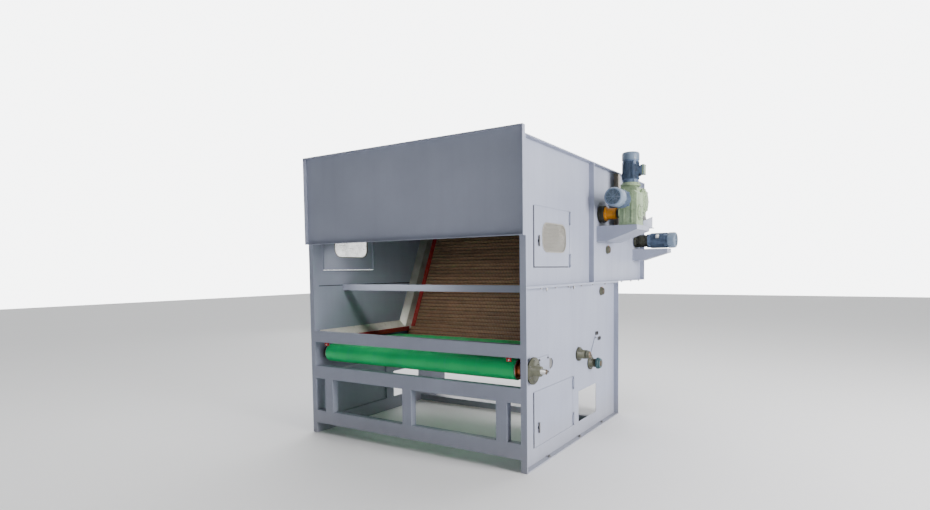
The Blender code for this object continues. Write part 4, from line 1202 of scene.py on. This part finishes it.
def wall_bearing(s, name, side, y, z):
    """Round flanged bearing on a side wall: stepped housing, seal and grease nipple."""
    r = s.bearing_radius
    bore = 0.0295
    reach = 0.030
    shape = Shape(name)
    shape.at = turned_to((side, 0, 0), (side * (SKIN + LIFT), y, z))
    profile = [
        (0.0, bore),
        (0.0, r - 0.001),
        (0.001, r),
        (0.008, r),
        (0.010, r - 0.003),
        (0.012, 0.040),
        (reach - 0.006, 0.038),
        (reach - 0.002, 0.036),
        (reach, 0.034),
        (reach, bore),
    ]
    shape.lathe(profile, "bearing_iron", 48, closed=True)
    lip = bore - 0.001
    seal = [(reach - 0.004, lip), (reach - 0.004, 0.0335), (reach + 0.001, 0.033), (reach + 0.001, lip)]
    shape.lathe(seal, "seal_rubber", 40, closed=True)
    shape.at = turned_to((0, 0, 1), (side * (SKIN + 0.017), y, z + 0.036))
    nipple = [(0.0, 0.004), (0.006, 0.004), (0.007, 0.0025), (0.012, 0.0028), (0.014, 0.0015)]
    shape.lathe(nipple, "copper", 10)
    shape.done(slot="bearing_iron")


def collar(name, joint, body, start, length, radius, material):
    """Locking collar with a set screw on a shaft's right-hand end, with a tarnished end disc."""
    axis = AXES[joint]
    shape = Shape(name)
    shape.at = turned_to((1, 0, 0), (start, axis.y, axis.z))
    inner = 0.0285
    profile = [
        (0.0, inner),
        (0.0, radius - 0.004),
        (0.004, radius),
        (length * 0.55, radius),
        (length * 0.65, radius - 0.005),
        (length - 0.003, radius - 0.007),
        (length, radius - 0.011),
        (length, inner),
    ]
    shape.lathe(profile, material, 40, closed=True)
    edge = inner - 0.0003
    back, face = length - 0.004, length + 0.0022
    shape.lathe([(back, 0.004), (back, edge), (face, edge), (face, 0.004)], "shaft_tan", 32, closed=True)
    shape.at = turned_to((0, 0, 1), (start + length * 0.3, axis.y, axis.z + radius - 0.004))
    set_screw = [(0.0, 0.0045), (0.0075, 0.0045), (0.0085, 0.0035), (0.0086, 0.001)]
    shape.lathe(set_screw, "bolt_steel", 6)
    shape.done(body, "bearing_iron")


class FEEDER_OT_bearings(bpy.types.Operator):
    """Bearings of the shafts that come through the side walls"""

    bl_idname = "feeder.bearings"
    bl_label = "Bearings"

    def execute(self, context):
        s = context.scene.feeder_sizes
        walls = {
            1: ("lattice_lower_spin", "lattice_upper_spin", "stripper_spin"),
            -1: (
                "apron_drive_spin",
                "lattice_bottom_spin",
                "lattice_lower_spin",
                "lattice_upper_spin",
                "lattice_top_spin",
                "delivery_spin",
            ),
        }
        for side, label in SIDES:
            for joint in walls[side]:
                axis = AXES[joint]
                wall_bearing(s, joint.replace("spin", f"bearing_{label}"), side, axis.y, axis.z)
        self.flange_bolts()
        self.take_up()
        return {"FINISHED"}

    def flange_bolts(self):
        """Bolts of the two shaft bearings near the apron's end, and the collars on their shafts."""
        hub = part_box("lattice_foot_bearing")[1].x
        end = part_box("lattice_bottom_drum")[1].x
        span = (hub + 0.0006, end - hub - 0.003)
        drive = ("apron_drive_spin", "apron_drive_spool")
        foot = ("lattice_bottom_spin", "lattice_bottom_shaft")
        collar("apron_drive_collar", *drive, *span, 0.040, "bearing_iron")
        collar("lattice_foot_collar", *foot, *span, 0.055, "collar_teal")
        ring = []
        for node, (joint, _) in (("apron_drive_bearing", drive), ("lattice_foot_bearing", foot)):
            smooth_copy(node, "bearing_iron")
            ring += round_axis(SKIN + 0.018, AXES[joint], 0.054, 4, first=45)
        bolts("drive_bearing_bolts", ring, 0.0075)

    def take_up(self):
        """Bolts of the take-up plates, and the disc's own ring of screws."""
        axis = AXES["apron_front_spin"]
        plate_bolts = []
        disc_screws = []
        for side, label in SIDES:
            bearing = smooth_copy(f"take_up_bearing_{label}", "bearing_iron")
            bearing.data.materials.append(made("panel_paint"))
            # hub_dark on the rim's sides away from the axis: painted shade at the disc's edge
            bearing.data.materials.append(made("hub_dark"))
            for face in bearing.data.polygons:
                stand = abs(face.center.x) - SKIN
                if stand < 0.0085:
                    face.material_index = 1
                elif stand < 0.047 and abs(face.normal.x) < 0.5 and abs(face.center.z - axis.z) > 0.05:
                    face.material_index = 2
            self.slot_cover(side, label, axis)
            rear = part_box(f"take_up_bearing_{label}")[1].y
            for y in (rear - 0.030, rear - 0.190):
                for z in (axis.z - 0.060, axis.z + 0.060):
                    plate_bolts.append((Vector((side * (SKIN + 0.008), y, z)), (side, 0, 0)))
            disc_screws += round_axis(side * (SKIN + 0.048), axis, 0.086, 6, first=30, side=side)
        bolts("take_up_plate_bolts", plate_bolts, 0.008)
        bolts("take_up_disc_screws", disc_screws, 0.0055, sides=12)

    def slot_cover(self, side, label, axis):
        """Sheet that closes the take-up slot from inside the wall."""
        shape = Shape(f"take_up_slot_cover_{label}")
        outline = rounded((axis.y + 0.15, axis.y + 0.52), (axis.z - 0.065, axis.z + 0.065), 0.02)
        span = sorted((side * (SKIN - 0.0046), side * (SKIN - 0.0076)))
        shape.prism(outline, span, "handle_steel", bevel=0.0008)
        shape.done(slot="panel_paint")


# Fasteners


class FEEDER_OT_fasteners(bpy.types.Operator):
    """Bolts of the body's flanges and screws of its covers"""

    bl_idname = "feeder.fasteners"
    bl_label = "Fasteners"

    def execute(self, context):
        s = context.scene.feeder_sizes
        self.seams(s)
        self.feet()
        self.covers(s)
        return {"FINISHED"}

    def seams(self, s):
        """Bolts through the level seam, two of them long, and the sealing strip inside it."""
        places = []
        long_places = []
        for side, label in SIDES:
            x = side * FLANGE_MIDDLE
            for distance in (0.305, 0.586, 0.862, 1.167, 1.451, 1.800, 2.080):
                places.append((Vector((x, FRONT + distance, SEAM_Z - FLANGE_RIM)), (0, 0, -1)))
            for distance in (0.408, 0.976):
                long_places.append((Vector((x, FRONT + distance, SEAM_Z - FLANGE_RIM)), (0, 0, -1)))
            for distance in (2.330, 2.660, 2.960):
                places.append((Vector((x, FRONT + distance, SEAM_Z)), (0, 0, -1)))
            strip = Shape(f"seam_seal_{label}")
            low = (side * (SKIN - WALL_SHEET - 0.0002), FRONT + 0.070, SEAM_Z - 0.004)
            high = (side * (SKIN - WALL_SHEET - 0.0016), LOWER_BACK - 0.070, SEAM_Z + 0.004)
            strip.block(low, high, "seal_rubber", 0.0)
            strip.done(slot="latch_black")
        bolts("seam_bolts", places, s.bolt_radius)
        bolts("long_seam_bolts", long_places, s.bolt_radius, height=0.022)

    def feet(self):
        places = []
        for side, _ in SIDES:
            for distance in (0.441, 1.112, 1.703):
                places.append((Vector((side * FLANGE_MIDDLE, FRONT + distance, FLANGE_RIM)), (0, 0, 1)))
        bolts("foot_bolts", places, 0.013)

    def covers(self, s):
        """Screws round the edges of the roof covers and along the lower back panel."""
        places = []
        edge = SKIN - 0.026
        for node in ("top_cover_front", "top_cover_rear"):
            low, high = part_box(node)
            steps = 6
            for step in range(steps):
                y = low.y + 0.05 + step * (high.y - low.y - 0.10) / (steps - 1)
                for x in (-edge, edge):
                    places.append((Vector((x, y, high.z)), (0, 0, 1)))
        low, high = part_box("lower_back_panel")
        for step in range(9):
            x = -edge + step * 2 * edge / 8
            for z in (low.z + 0.03, high.z - 0.03):
                places.append((Vector((x, high.y, z)), (0, 1, 0)))
        bolts("cover_screws", places, s.screw_radius, height=0.003, sides=12)


# Drives


def fan_motor(s, name, place, length, start=0.0, share=0.26):
    """Finned motor about the local Z of a placement, from its mounting face to its fan cowl."""
    cowl = start + length * (1 - share)
    end = start + length
    body = Shape(f"{name}_body")
    body.at = place
    profile = [
        (start, 0.060),
        (start, 0.078),
        (start + 0.010, 0.080),
        (start + 0.022, 0.084),
        (start + 0.030, 0.084),
        (start + 0.032, 0.078),
        (cowl - 0.020, 0.078),
        (cowl - 0.016, 0.085),
        (cowl + 0.002, 0.085),
        (cowl + 0.002, 0.060),
    ]
    body.lathe(profile, "motor_blue", 56)
    for body.at in round_about(place, 4, first=45):
        body.block((0.074, -0.009, start + 0.004), (0.092, 0.009, start + 0.028), "motor_blue", 0.003)
        body.block((0.070, -0.012, cowl - 0.050), (0.088, 0.012, cowl - 0.012), "motor_blue", 0.003)
    body.at = place @ Matrix.Rotation(math.radians(150), 4, "Z")
    middle = (start + cowl) / 2
    body.block((0.076, -0.024, middle - 0.020), (0.0915, 0.024, middle + 0.020), "plate_aluminium", 0.001)
    body.done(slot="motor_blue")
    fins = grown_by(
        tree_of(fin_tree),
        f"{name}_fins",
        empty_mesh(f"{name}_fins"),
        Fins=s.fin_count,
        Radius=0.077,
        Height=0.0125,
        Thickness=s.fin_thickness,
        Length=cowl - start - 0.056,
        Start=start + 0.034,
        Material=made("motor_blue"),
    )
    fins.data.transform(place)
    settle(fins, MACHINE)
    shell = Shape(f"{name}_cowl")
    shell.at = place
    shell.lathe(
        [
            (cowl, 0.0895),
            (cowl, 0.0915),
            (end - 0.026, 0.0915),
            (end - 0.014, 0.0895),
            (end - 0.005, 0.0840),
            (end - 0.001, 0.0760),
            (end - 0.001, 0.0700),
            (end - 0.003, 0.0700),
            (end - 0.004, 0.0750),
            (end - 0.009, 0.0820),
            (end - 0.016, 0.0875),
            (end - 0.026, 0.0895),
        ],
        "motor_cowl",
        56,
        closed=True,
    )
    shell.done(slot="motor_blue")
    fan = Shape(f"{name}_fan")
    fan.at = place
    profile = [
        (end - 0.040, 0.020),
        (end - 0.040, 0.088),
        (end - 0.036, 0.088),
        (end - 0.032, 0.024),
        (end - 0.012, 0.022),
        (end - 0.010, 0.018),
    ]
    fan.lathe(profile, "collar_teal", 32)
    for fan.at in round_about(place, 9):
        fan.block((0.020, -0.0012, end - 0.037), (0.080, 0.0012, end - 0.016), "collar_teal", 0.0)
    fan.done(slot="latch_black")
    grille = grown_by(
        tree_of(grille_tree),
        f"{name}_grille",
        empty_mesh(f"{name}_grille"),
        Rings=9,
        Spokes=8,
        Radius=0.0725,
        Wire=0.0016,
        Material=made("motor_cowl"),
    )
    grille.data.transform(place @ Matrix.Translation((0, 0, end - 0.0025)))
    settle(grille, MACHINE)
    screws = []
    for turn in range(4):
        angle = math.radians(45 + 90 * turn)
        spot = place @ Vector((0.0915 * math.cos(angle), 0.0915 * math.sin(angle), cowl + 0.012))
        outward = place.to_3x3() @ Vector((math.cos(angle), math.sin(angle), 0))
        screws.append((spot, outward))
    bolts(f"{name}_cowl_screws", screws, 0.0045, height=0.002, sides=12)


class FEEDER_OT_motors(bpy.types.Operator):
    """The three flange motors with fins, cowls and grilles"""

    bl_idname = "feeder.motors"
    bl_label = "Motors"

    def execute(self, context):
        s = context.scene.feeder_sizes
        self.lattice(s)
        self.evener(s)
        self.delivery(s)
        return {"FINISHED"}

    def stand_for(self, node):
        """Hides a motor's node behind the body that fan_motor made for it."""
        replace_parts(bpy.data.objects[f"{node}_body"], node)

    def lattice(self, s):
        low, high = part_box("lattice_motor")
        y = (low.y + high.y) / 2
        x = low.x + 0.105
        foot = 0.035
        place = Matrix.Translation((x, y, low.z))
        fan_motor(s, "lattice_motor", place, high.z - low.z - foot, foot)
        self.stand_for("lattice_motor")
        flange = Shape("lattice_motor_flange")
        flange.at = place
        profile = [(0.0, 0.104), (0.001, 0.105), (0.014, 0.105), (0.016, 0.103), (0.020, 0.092)]
        profile += [(foot, 0.086), (foot, 0.06), (0.0, 0.06)]
        flange.lathe(profile, "gear_green", 56, closed=True)
        flange.done(slot="gear_green")
        places = round_about(place, 8, first=22.5)
        ring = [(turned @ Vector((0.096, 0, 0.015)), (0, 0, 1)) for turned in places]
        bolts("lattice_motor_flange_bolts", ring, 0.0065)
        self.terminal_box(x, y, low.z + foot + 0.070)

    def terminal_box(self, x, y, z):
        """Terminal box on the motor's outer side, with a pale lid, a gland and lid screws."""
        box = Shape("terminal_box")
        for start, end, half, foot, head, material, bevel in (
            (0.070, 0.112, 0.034, 0.012, 0.098, "motor_blue", 0.003),
            (0.110, 0.126, 0.038, 0.004, 0.106, "motor_blue", 0.003),
            (0.126, 0.1515, 0.039, 0.002, 0.109, "terminal_green", 0.006),
        ):
            box.block((x + start, y - half, z + foot), (x + end, y + half, z + head), material, bevel)
        box.at = turned_to((0, 0, -1), (x + 0.100, y, z + 0.013))
        gland = [(0.0, 0.013), (0.006, 0.013), (0.006, 0.016), (0.014, 0.016)]
        gland += [(0.018, 0.012), (0.022, 0.008)]
        box.lathe(gland, "seal_rubber", 12)
        box.done(slot="motor_blue")
        screws = []
        for dy in (-0.031, 0.031):
            for dz in (0.010, 0.101):
                screws.append((Vector((x + 0.1510, y + dy, z + dz)), (1, 0, 0)))
        bolts("terminal_box_screws", screws, 0.0038, height=0.002, sides=10)

    def evener(self, s):
        low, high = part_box("evener_motor")
        place = turned_to((0, -1, 0), ((low.x + high.x) / 2, high.y, (low.z + high.z) / 2))
        fan_motor(s, "evener_motor", place, high.y - low.y, share=0.42)
        self.stand_for("evener_motor")

    def delivery(self, s):
        low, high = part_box("delivery_motor")
        y = (low.y + high.y) / 2
        z = (low.z + high.z) / 2
        unit = 0.160
        place = turned_to((1, 0, 0), (low.x, y, z))
        fan_motor(s, "delivery_motor", place, high.x - low.x - unit, unit)
        self.stand_for("delivery_motor")
        gear = Shape("delivery_gear_unit")
        gear.at = place
        profile = [(0.0, 0.075), (0.012, 0.075), (0.016, 0.070), (0.020, 0.062), (0.060, 0.062)]
        profile += [(0.066, 0.072), (0.120, 0.073), (0.126, 0.068), (0.140, 0.068)]
        profile += [(0.144, 0.078), (unit, 0.080)]
        gear.lathe(profile, "hub_dark", 48)
        for gear.at in round_about(place, 8):
            gear.block((0.060, -0.003, 0.018), (0.074, 0.003, 0.064), "hub_dark", 0.001)
        gear.done(slot="bearing_iron")
        ring = [(turned @ Vector((0.068, 0, 0.012)), (1, 0, 0)) for turned in round_about(place, 6)]
        bolts("delivery_unit_bolts", ring, 0.006)


class FEEDER_OT_gearboxes(bpy.types.Operator):
    """Worm gearboxes on the shelf"""

    bl_idname = "feeder.gearboxes"
    bl_label = "Gearboxes"

    def execute(self, context):
        self.evener()
        self.lattice()
        return {"FINISHED"}

    def casting(self, shape, low, high, foot, chamfer=0.030):
        """Chamfered housing on a foot, with ribs down its front and back."""
        top = high.z
        outline = [
            (low.x, low.z + foot),
            (high.x, low.z + foot),
            (high.x, top - chamfer),
            (high.x - chamfer, top),
            (low.x + chamfer, top),
            (low.x, top - chamfer),
        ]
        shape.prism(outline, (low.y + 0.006, high.y - 0.006), "gear_green", "Y", 0.006)
        for share in (0.28, 0.72):
            x = low.x + share * (high.x - low.x)
            start = (x - 0.005, low.y, low.z + foot)
            shape.block(start, (x + 0.005, high.y, top - chamfer), "gear_green", 0.002)

    def evener(self):
        low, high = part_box("evener_gearbox")
        axis = AXES["evener_spin"]
        middle = sum(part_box("evener_motor"), Vector()) / 2
        body_high = Vector((SKIN + 0.405, high.y, high.z))
        shape = Shape("evener_gearbox_casting")
        self.casting(shape, low, body_high, 0.018)
        shape.block((low.x, low.y, low.z), (high.x, high.y, low.z + 0.019), "gear_green", 0.003)
        shape.at = turned_to((0, -1, 0), (middle.x, low.y + 0.010, middle.z))
        neck = [(-0.20, 0.062), (-0.20, 0.068), (0.004, 0.068), (0.004, 0.088)]
        neck += [(0.0095, 0.088), (0.0095, 0.062)]
        shape.lathe(neck, "gear_green", 48)
        cover = Vector((body_high.x - 0.004, axis.y + 0.03, axis.z))
        shape.at = turned_to((1, 0, 0), cover)
        lid = [(0.0, 0.080), (0.012, 0.080), (0.016, 0.074), (0.018, 0.040), (0.024, 0.036), (0.026, 0.020)]
        shape.lathe(lid, "gear_green", 48)
        shape.at = turned_to((-1, 0, 0), (low.x + 0.004, axis.y, axis.z))
        shape.lathe([(0.0, 0.086), (0.003, 0.086), (0.005, 0.080), (0.0052, 0.058)], "gear_green", 48)
        piece = shape.done(slot="gear_green")
        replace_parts(piece, "evener_gearbox")
        places = round_axis(body_high.x + 0.008, cover, 0.066, 6)
        for x in (low.x + 0.015, high.x - 0.012):
            for y in (low.y + 0.02, high.y - 0.02):
                places.append((Vector((x, y, low.z + 0.019)), (0, 0, 1)))
        bolts("evener_gearbox_bolts", places, 0.0075)
        self.plug("evener_gearbox_breather", ((low.x + body_high.x) / 2, low.y + 0.16, high.z))

    def plug(self, name, place):
        """Hexagonal breather plug on a gearbox's top."""
        plug = Shape(name)
        plug.at = Matrix.Translation(place)
        profile = [(-0.004, 0.016), (0.004, 0.016), (0.005, 0.012)]
        profile += [(0.014, 0.012), (0.018, 0.008), (0.020, 0.004)]
        plug.lathe(profile, "copper", 6)
        plug.done(slot="bearing_iron")

    def lattice(self):
        low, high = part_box("lattice_gearbox")
        axis = AXES["lattice_top_spin"]
        body_high = Vector((SKIN + 0.311, high.y, high.z))
        shape = Shape("lattice_gearbox_casting")
        self.casting(shape, Vector((low.x, low.y, low.z + 0.112)), body_high, 0.018)
        self.pedestal(shape, low, high)
        shape.at = turned_to((1, 0, 0), (body_high.x - 0.006, axis.y, axis.z))
        lid = [(0.0, 0.128), (0.006, 0.135), (0.020, 0.135), (0.024, 0.131), (0.030, 0.122)]
        lid += [(0.038, 0.112), (0.043, 0.095), (0.044, 0.060), (0.050, 0.056), (0.051, 0.030)]
        shape.lathe(lid, "gear_green", 64)
        for shape.at in round_about(turned_to((1, 0, 0), (body_high.x, axis.y, axis.z)), 6):
            shape.block((0.050, -0.004, 0.026), (0.112, 0.004, 0.041), "gear_green", 0.0015)
        piece = shape.done(slot="gear_green")
        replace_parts(piece, "lattice_gearbox")
        ring = round_axis(body_high.x + 0.0165, axis, 0.127, 12, first=15)
        bolts("lattice_gearbox_bolts", ring, 0.0065)
        self.plug("lattice_gearbox_breather", (low.x + 0.09, high.y - 0.05, high.z))

    def pedestal(self, shape, low, high):
        """Raised foot under the lattice gearbox, behind a painted plate at the shelf's edge; its dark core
        is painted shade under the gear cover.
        """
        core = [
            (low.x, low.z),
            (SKIN + 0.340, low.z),
            (SKIN + 0.311, low.z + 0.130),
            (low.x, low.z + 0.130),
        ]
        # dark core: painted shade under the gear cover
        shape.prism(core, (low.y + 0.012, high.y - 0.012), "hub_dark", "Y", 0.004)
        plate = [
            (low.y + 0.004, low.z),
            (high.y - 0.002, low.z),
            (high.y - 0.002, low.z + 0.122),
            (low.y + 0.004, low.z + 0.055),
        ]
        shape.prism(plate, (SKIN + 0.372, SKIN + 0.380), "panel_paint", "X", 0.0015)


class FEEDER_OT_coupling(bpy.types.Operator):
    """Flexible coupling between the evener and its gearbox"""

    bl_idname = "feeder.coupling"
    bl_label = "Coupling"

    def execute(self, context):
        low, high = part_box("evener_coupling")
        axis = AXES["evener_spin"]
        hub = 0.060
        shape = Shape("evener_coupling_halves")
        shape.at = turned_to((1, 0, 0), (low.x, axis.y, axis.z))
        length = high.x - low.x
        wheel = [(0.0, 0.024), (0.0, 0.082), (0.002, 0.085), (0.020, 0.085), (0.022, 0.083), (0.022, 0.078)]
        wheel += [(0.027, 0.078), (0.027, 0.083), (0.029, 0.085)]
        wheel += [(hub - 0.002, 0.085), (hub, 0.083), (hub, 0.024)]
        shape.lathe(wheel, "hub_dark", 56, closed=True)
        sleeve = [(hub + 0.0005, 0.022), (hub + 0.0005, 0.070), (hub + 0.006, 0.072), (hub + 0.016, 0.070)]
        sleeve += [(hub + 0.022, 0.056), (length - 0.042, 0.055)]
        sleeve += [(length - 0.040, 0.050), (length - 0.038, 0.022)]
        shape.lathe(sleeve, "coupling_orange", 56)
        bush = [(length - 0.036, 0.022), (length - 0.036, 0.044), (length - 0.030, 0.048)]
        bush += [(length - 0.004, 0.048), (length, 0.044), (length, 0.022)]
        shape.lathe(bush, "hub_dark", 48)
        piece = shape.done("evener", "coupling_orange")
        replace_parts(piece, "evener_coupling")
        ring = round_axis(low.x + hub + 0.014, axis, 0.0635, 6)
        bolts("evener_coupling_bolts", ring, 0.0055, body="evener")
        return {"FINISHED"}


class FEEDER_OT_wall_fittings(bpy.types.Operator):
    """Cable trunking, adjuster slots and tension arm on the right-hand side wall"""

    bl_idname = "feeder.wall_fittings"
    bl_label = "Wall Fittings"

    def execute(self, context):
        self.trunking()
        self.slots()
        self.arm()
        return {"FINISHED"}

    def trunking(self):
        """Upright cable trunking behind the drives, with a clipped lid."""
        shape = Shape("cable_trunking")
        y = (FRONT + 2.150, FRONT + 2.225)
        z = (2.075, PANEL_TOP - FLANGE_RIM - 0.002)
        shape.block((SKIN + LIFT, y[0], z[0]), (SKIN + 0.038, y[1], z[1]), "trunking", 0.002)
        lid = (SKIN + 0.038, y[0] - 0.002, z[0] + 0.004)
        shape.block(lid, (SKIN + 0.046, y[1] + 0.002, z[1] - 0.004), "trunking", 0.003)
        shape.done(slot="bearing_iron")

    def slots(self):
        """Two black-lipped slots beside the tension arm's head, each filled flush with a black sheet:
        painted shade of its hollow.
        """
        shape = Shape("adjuster_slots")
        for distance, z in ((1.629, 0.945), (1.700, 0.886)):
            y = FRONT + distance
            outline = rounded((y - 0.042, y + 0.042), (z - 0.019, z + 0.019), 0.0185)
            inner = rounded((y - 0.036, y + 0.036), (z - 0.013, z + 0.013), 0.0125)
            shape.frame_ring(outline, inner, (SKIN + 0.0003, SKIN + 0.0040), "latch_black")
            # black fill inside the lip: painted shade of the slot's hollow
            shape.prism(inner, (SKIN + 0.0003, SKIN + 0.0012), "seal_rubber")
        shape.done(slot="latch_black")

    def arm(self):
        """Slanted flat bar between the lattice's foot bearing and the slots."""
        foot = Vector((FRONT + 1.468, 0.742))
        head = Vector((FRONT + 1.585, 0.905))
        along = (head - foot).normalized()
        across = Vector((-along.y, along.x)) * 0.017
        outline = []
        for centre, start in ((foot, 180), (head, 0)):
            for step in range(9):
                angle = math.radians(start + 22.5 * step)
                outline.append(tuple(centre + across * math.cos(angle) + along * 0.017 * math.sin(angle)))
        shape = Shape("tension_arm")
        shape.prism(outline, (SKIN + 0.0003, SKIN + 0.0070), "panel_paint", bevel=0.0015)
        shape.done(slot="panel_paint")
        ends = [(Vector((SKIN + 0.0070, *end)), (1, 0, 0)) for end in (foot, head)]
        bolts("tension_arm_bolts", ends, 0.0075)


class FEEDER_OT_finishes(bpy.types.Operator):
    """Makes every finish and gives the frame's nodes theirs"""

    bl_idname = "feeder.finishes"
    bl_label = "Finishes"

    def execute(self, context):
        make_finishes(context.scene.feeder_colours)
        for part in frame["record"]["subparts"]:
            slots = frame["nodes"][part["node"]].data.materials
            slots.clear()
            slots.append(made(part["material_slot"]))
        return {"FINISHED"}


class FEEDER_OT_stage(bpy.types.Operator):
    """Floor, studio light and camera"""

    bl_idname = "feeder.stage"
    bl_label = "Stage"

    def execute(self, context):
        self.floor(context.scene.feeder_colours)
        self.lights()
        self.world(context.scene)
        self.camera(context.scene)
        return {"FINISHED"}

    def floor(self, c):
        stage_floor("stage_floor", c.floor)
        mesh = bpy.data.meshes.new("studio_floor")
        half = 30.0
        z = -0.0005  # just under the machine's feet
        corners = [(-half, -half, z), (half, -half, z), (half, half, z), (-half, half, z)]
        mesh.from_pydata(corners, [], [(0, 1, 2, 3)])
        mesh.materials.append(made("stage_floor"))
        link("studio_floor", mesh)

    def lights(self):
        """Soft key from the right, weak front fill, top and back light, strip lamp inside the hopper."""
        hopper_lamp = (-0.45, FRONT + 0.115, 1.90)
        for name, place, aim, span, power, shade in (
            ("key_light", (9.7, -1.5, 3.2), (0.6, 0.2, 1.3), 4.0, 1550, (1.0, 0.98, 0.99)),
            ("front_fill", (-1.0, -10.0, 3.0), (0.0, 0.0, 1.2), 7.0, 30, (0.97, 0.98, 1.0)),
            ("top_light", (0.0, 0.0, 8.0), (0.0, 0.2, 0.0), 6.0, 350, (1.0, 1.0, 1.0)),
            ("hopper_light", hopper_lamp, (-0.45, FRONT + 0.80, 1.00), 1.2, 5.5, (1.0, 0.97, 0.93)),
            ("back_light", (-7.0, 7.0, 4.0), (0.0, 0.5, 1.3), 5.0, 110, (1.0, 1.0, 1.0)),
        ):
            light = bpy.data.lights.new(name, "AREA")
            light.energy = power
            light.color = shade
            light.size = span
            lamp = bpy.data.objects.new(name, light)
            bpy.context.scene.collection.objects.link(lamp)
            turn = (Vector(aim) - Vector(place)).to_track_quat("-Z", "Y")
            lamp.matrix_world = Matrix.Translation(place) @ turn.to_matrix().to_4x4()
        bpy.data.lights["hopper_light"].shape = "RECTANGLE"
        bpy.data.lights["hopper_light"].size_y = 0.10
        bpy.data.lights["hopper_light"].spread = math.radians(115)

    def world(self, scene):
        """Pale backdrop on every side; its light on the machine is strong behind it and dim in front."""
        world = bpy.data.worlds.new("studio")
        world.use_nodes = True
        nodes = world.node_tree.nodes
        links = world.node_tree.links
        plan = Plan(world.node_tree)
        pale = (0.98, 0.99, 1.0, 1.0)
        background = nodes["Background"]
        background.inputs["Color"].default_value = pale
        around = plan.node("ShaderNodeTexCoord", output="Generated")
        x = plan.node("ShaderNodeSeparateXYZ", None, {0: around}, "X")
        y = plan.node("ShaderNodeSeparateXYZ", None, {0: around}, "Y")
        behind = y * 0.85 - x * 0.52
        sockets = {"Value": behind, "From Min": 0.25, "From Max": 0.72, "To Min": 0.16, "To Max": 3.6}
        plan.feed(background.inputs["Strength"], plan.node("ShaderNodeMapRange", {"clamp": True}, sockets))
        backdrop = nodes.new("ShaderNodeBackground")
        backdrop.inputs["Color"].default_value = pale
        backdrop.inputs["Strength"].default_value = 6.5
        seen = plan.node("ShaderNodeLightPath", output="Is Camera Ray")
        mixed = nodes.new("ShaderNodeMixShader")
        plan.feed(mixed.inputs["Fac"], seen)
        links.new(background.outputs["Background"], mixed.inputs[1])
        links.new(backdrop.outputs["Background"], mixed.inputs[2])
        links.new(mixed.outputs["Shader"], nodes["World Output"].inputs["Surface"])
        scene.world = world

    def camera(self, scene):
        """Camera low at the right front corner, with a slight roll and a shifted lens."""
        lens = bpy.data.cameras.new("camera")
        lens.sensor_width = 36.0
        lens.lens = 22.08
        lens.shift_x = -0.0265
        lens.shift_y = 0.0499
        yaw, pitch, roll = (math.radians(angle) for angle in (31.45, 3.19, -0.61))
        ahead = Vector((-math.sin(yaw) * math.cos(pitch), math.cos(yaw) * math.cos(pitch), -math.sin(pitch)))
        level = Vector((math.cos(yaw), math.sin(yaw), 0.0))
        above = level.cross(ahead)
        right = level * math.cos(roll) + above * math.sin(roll)
        up = above * math.cos(roll) - level * math.sin(roll)
        placed = Matrix((right, up, -ahead)).transposed().to_4x4()
        camera = bpy.data.objects.new("camera", lens)
        camera.matrix_world = Matrix.Translation((3.254, -5.571, 1.604)) @ placed
        scene.collection.objects.link(camera)
        scene.camera = camera


OPERATORS = (
    FEEDER_OT_finishes,
    FEEDER_OT_lattice,
    FEEDER_OT_apron,
    FEEDER_OT_rollers,
    FEEDER_OT_doors,
    FEEDER_OT_bearings,
    FEEDER_OT_fasteners,
    FEEDER_OT_motors,
    FEEDER_OT_gearboxes,
    FEEDER_OT_coupling,
    FEEDER_OT_wall_fittings,
    FEEDER_OT_stage,
)


class FEEDER_PT_sidebar(bpy.types.Panel):
    """Sidebar panel of the feeder's pieces, sizes and colours"""

    bl_idname = "FEEDER_PT_sidebar"
    bl_label = "Hopper Feeder"
    bl_space_type = "VIEW_3D"
    bl_region_type = "UI"
    bl_category = "Feeder"

    def draw(self, context):
        for operator in OPERATORS:
            self.layout.operator(operator.bl_idname)
        for group in (context.scene.feeder_sizes, context.scene.feeder_colours):
            box = self.layout.box()
            for name in group.__annotations__:
                box.prop(group, name)


CLASSES = (FeederSizes, FeederColours, *OPERATORS, FEEDER_PT_sidebar)


def register():
    for item in CLASSES:
        bpy.utils.register_class(item)
    bpy.types.Scene.feeder_sizes = PointerProperty(type=FeederSizes)
    bpy.types.Scene.feeder_colours = PointerProperty(type=FeederColours)


def unregister():
    del bpy.types.Scene.feeder_colours
    del bpy.types.Scene.feeder_sizes
    for item in reversed(CLASSES):
        bpy.utils.unregister_class(item)


def main():
    register()
    for operator in OPERATORS:
        getattr(bpy.ops.feeder, operator.bl_idname.split(".")[1])()


if __name__ == "__main__":
    main()
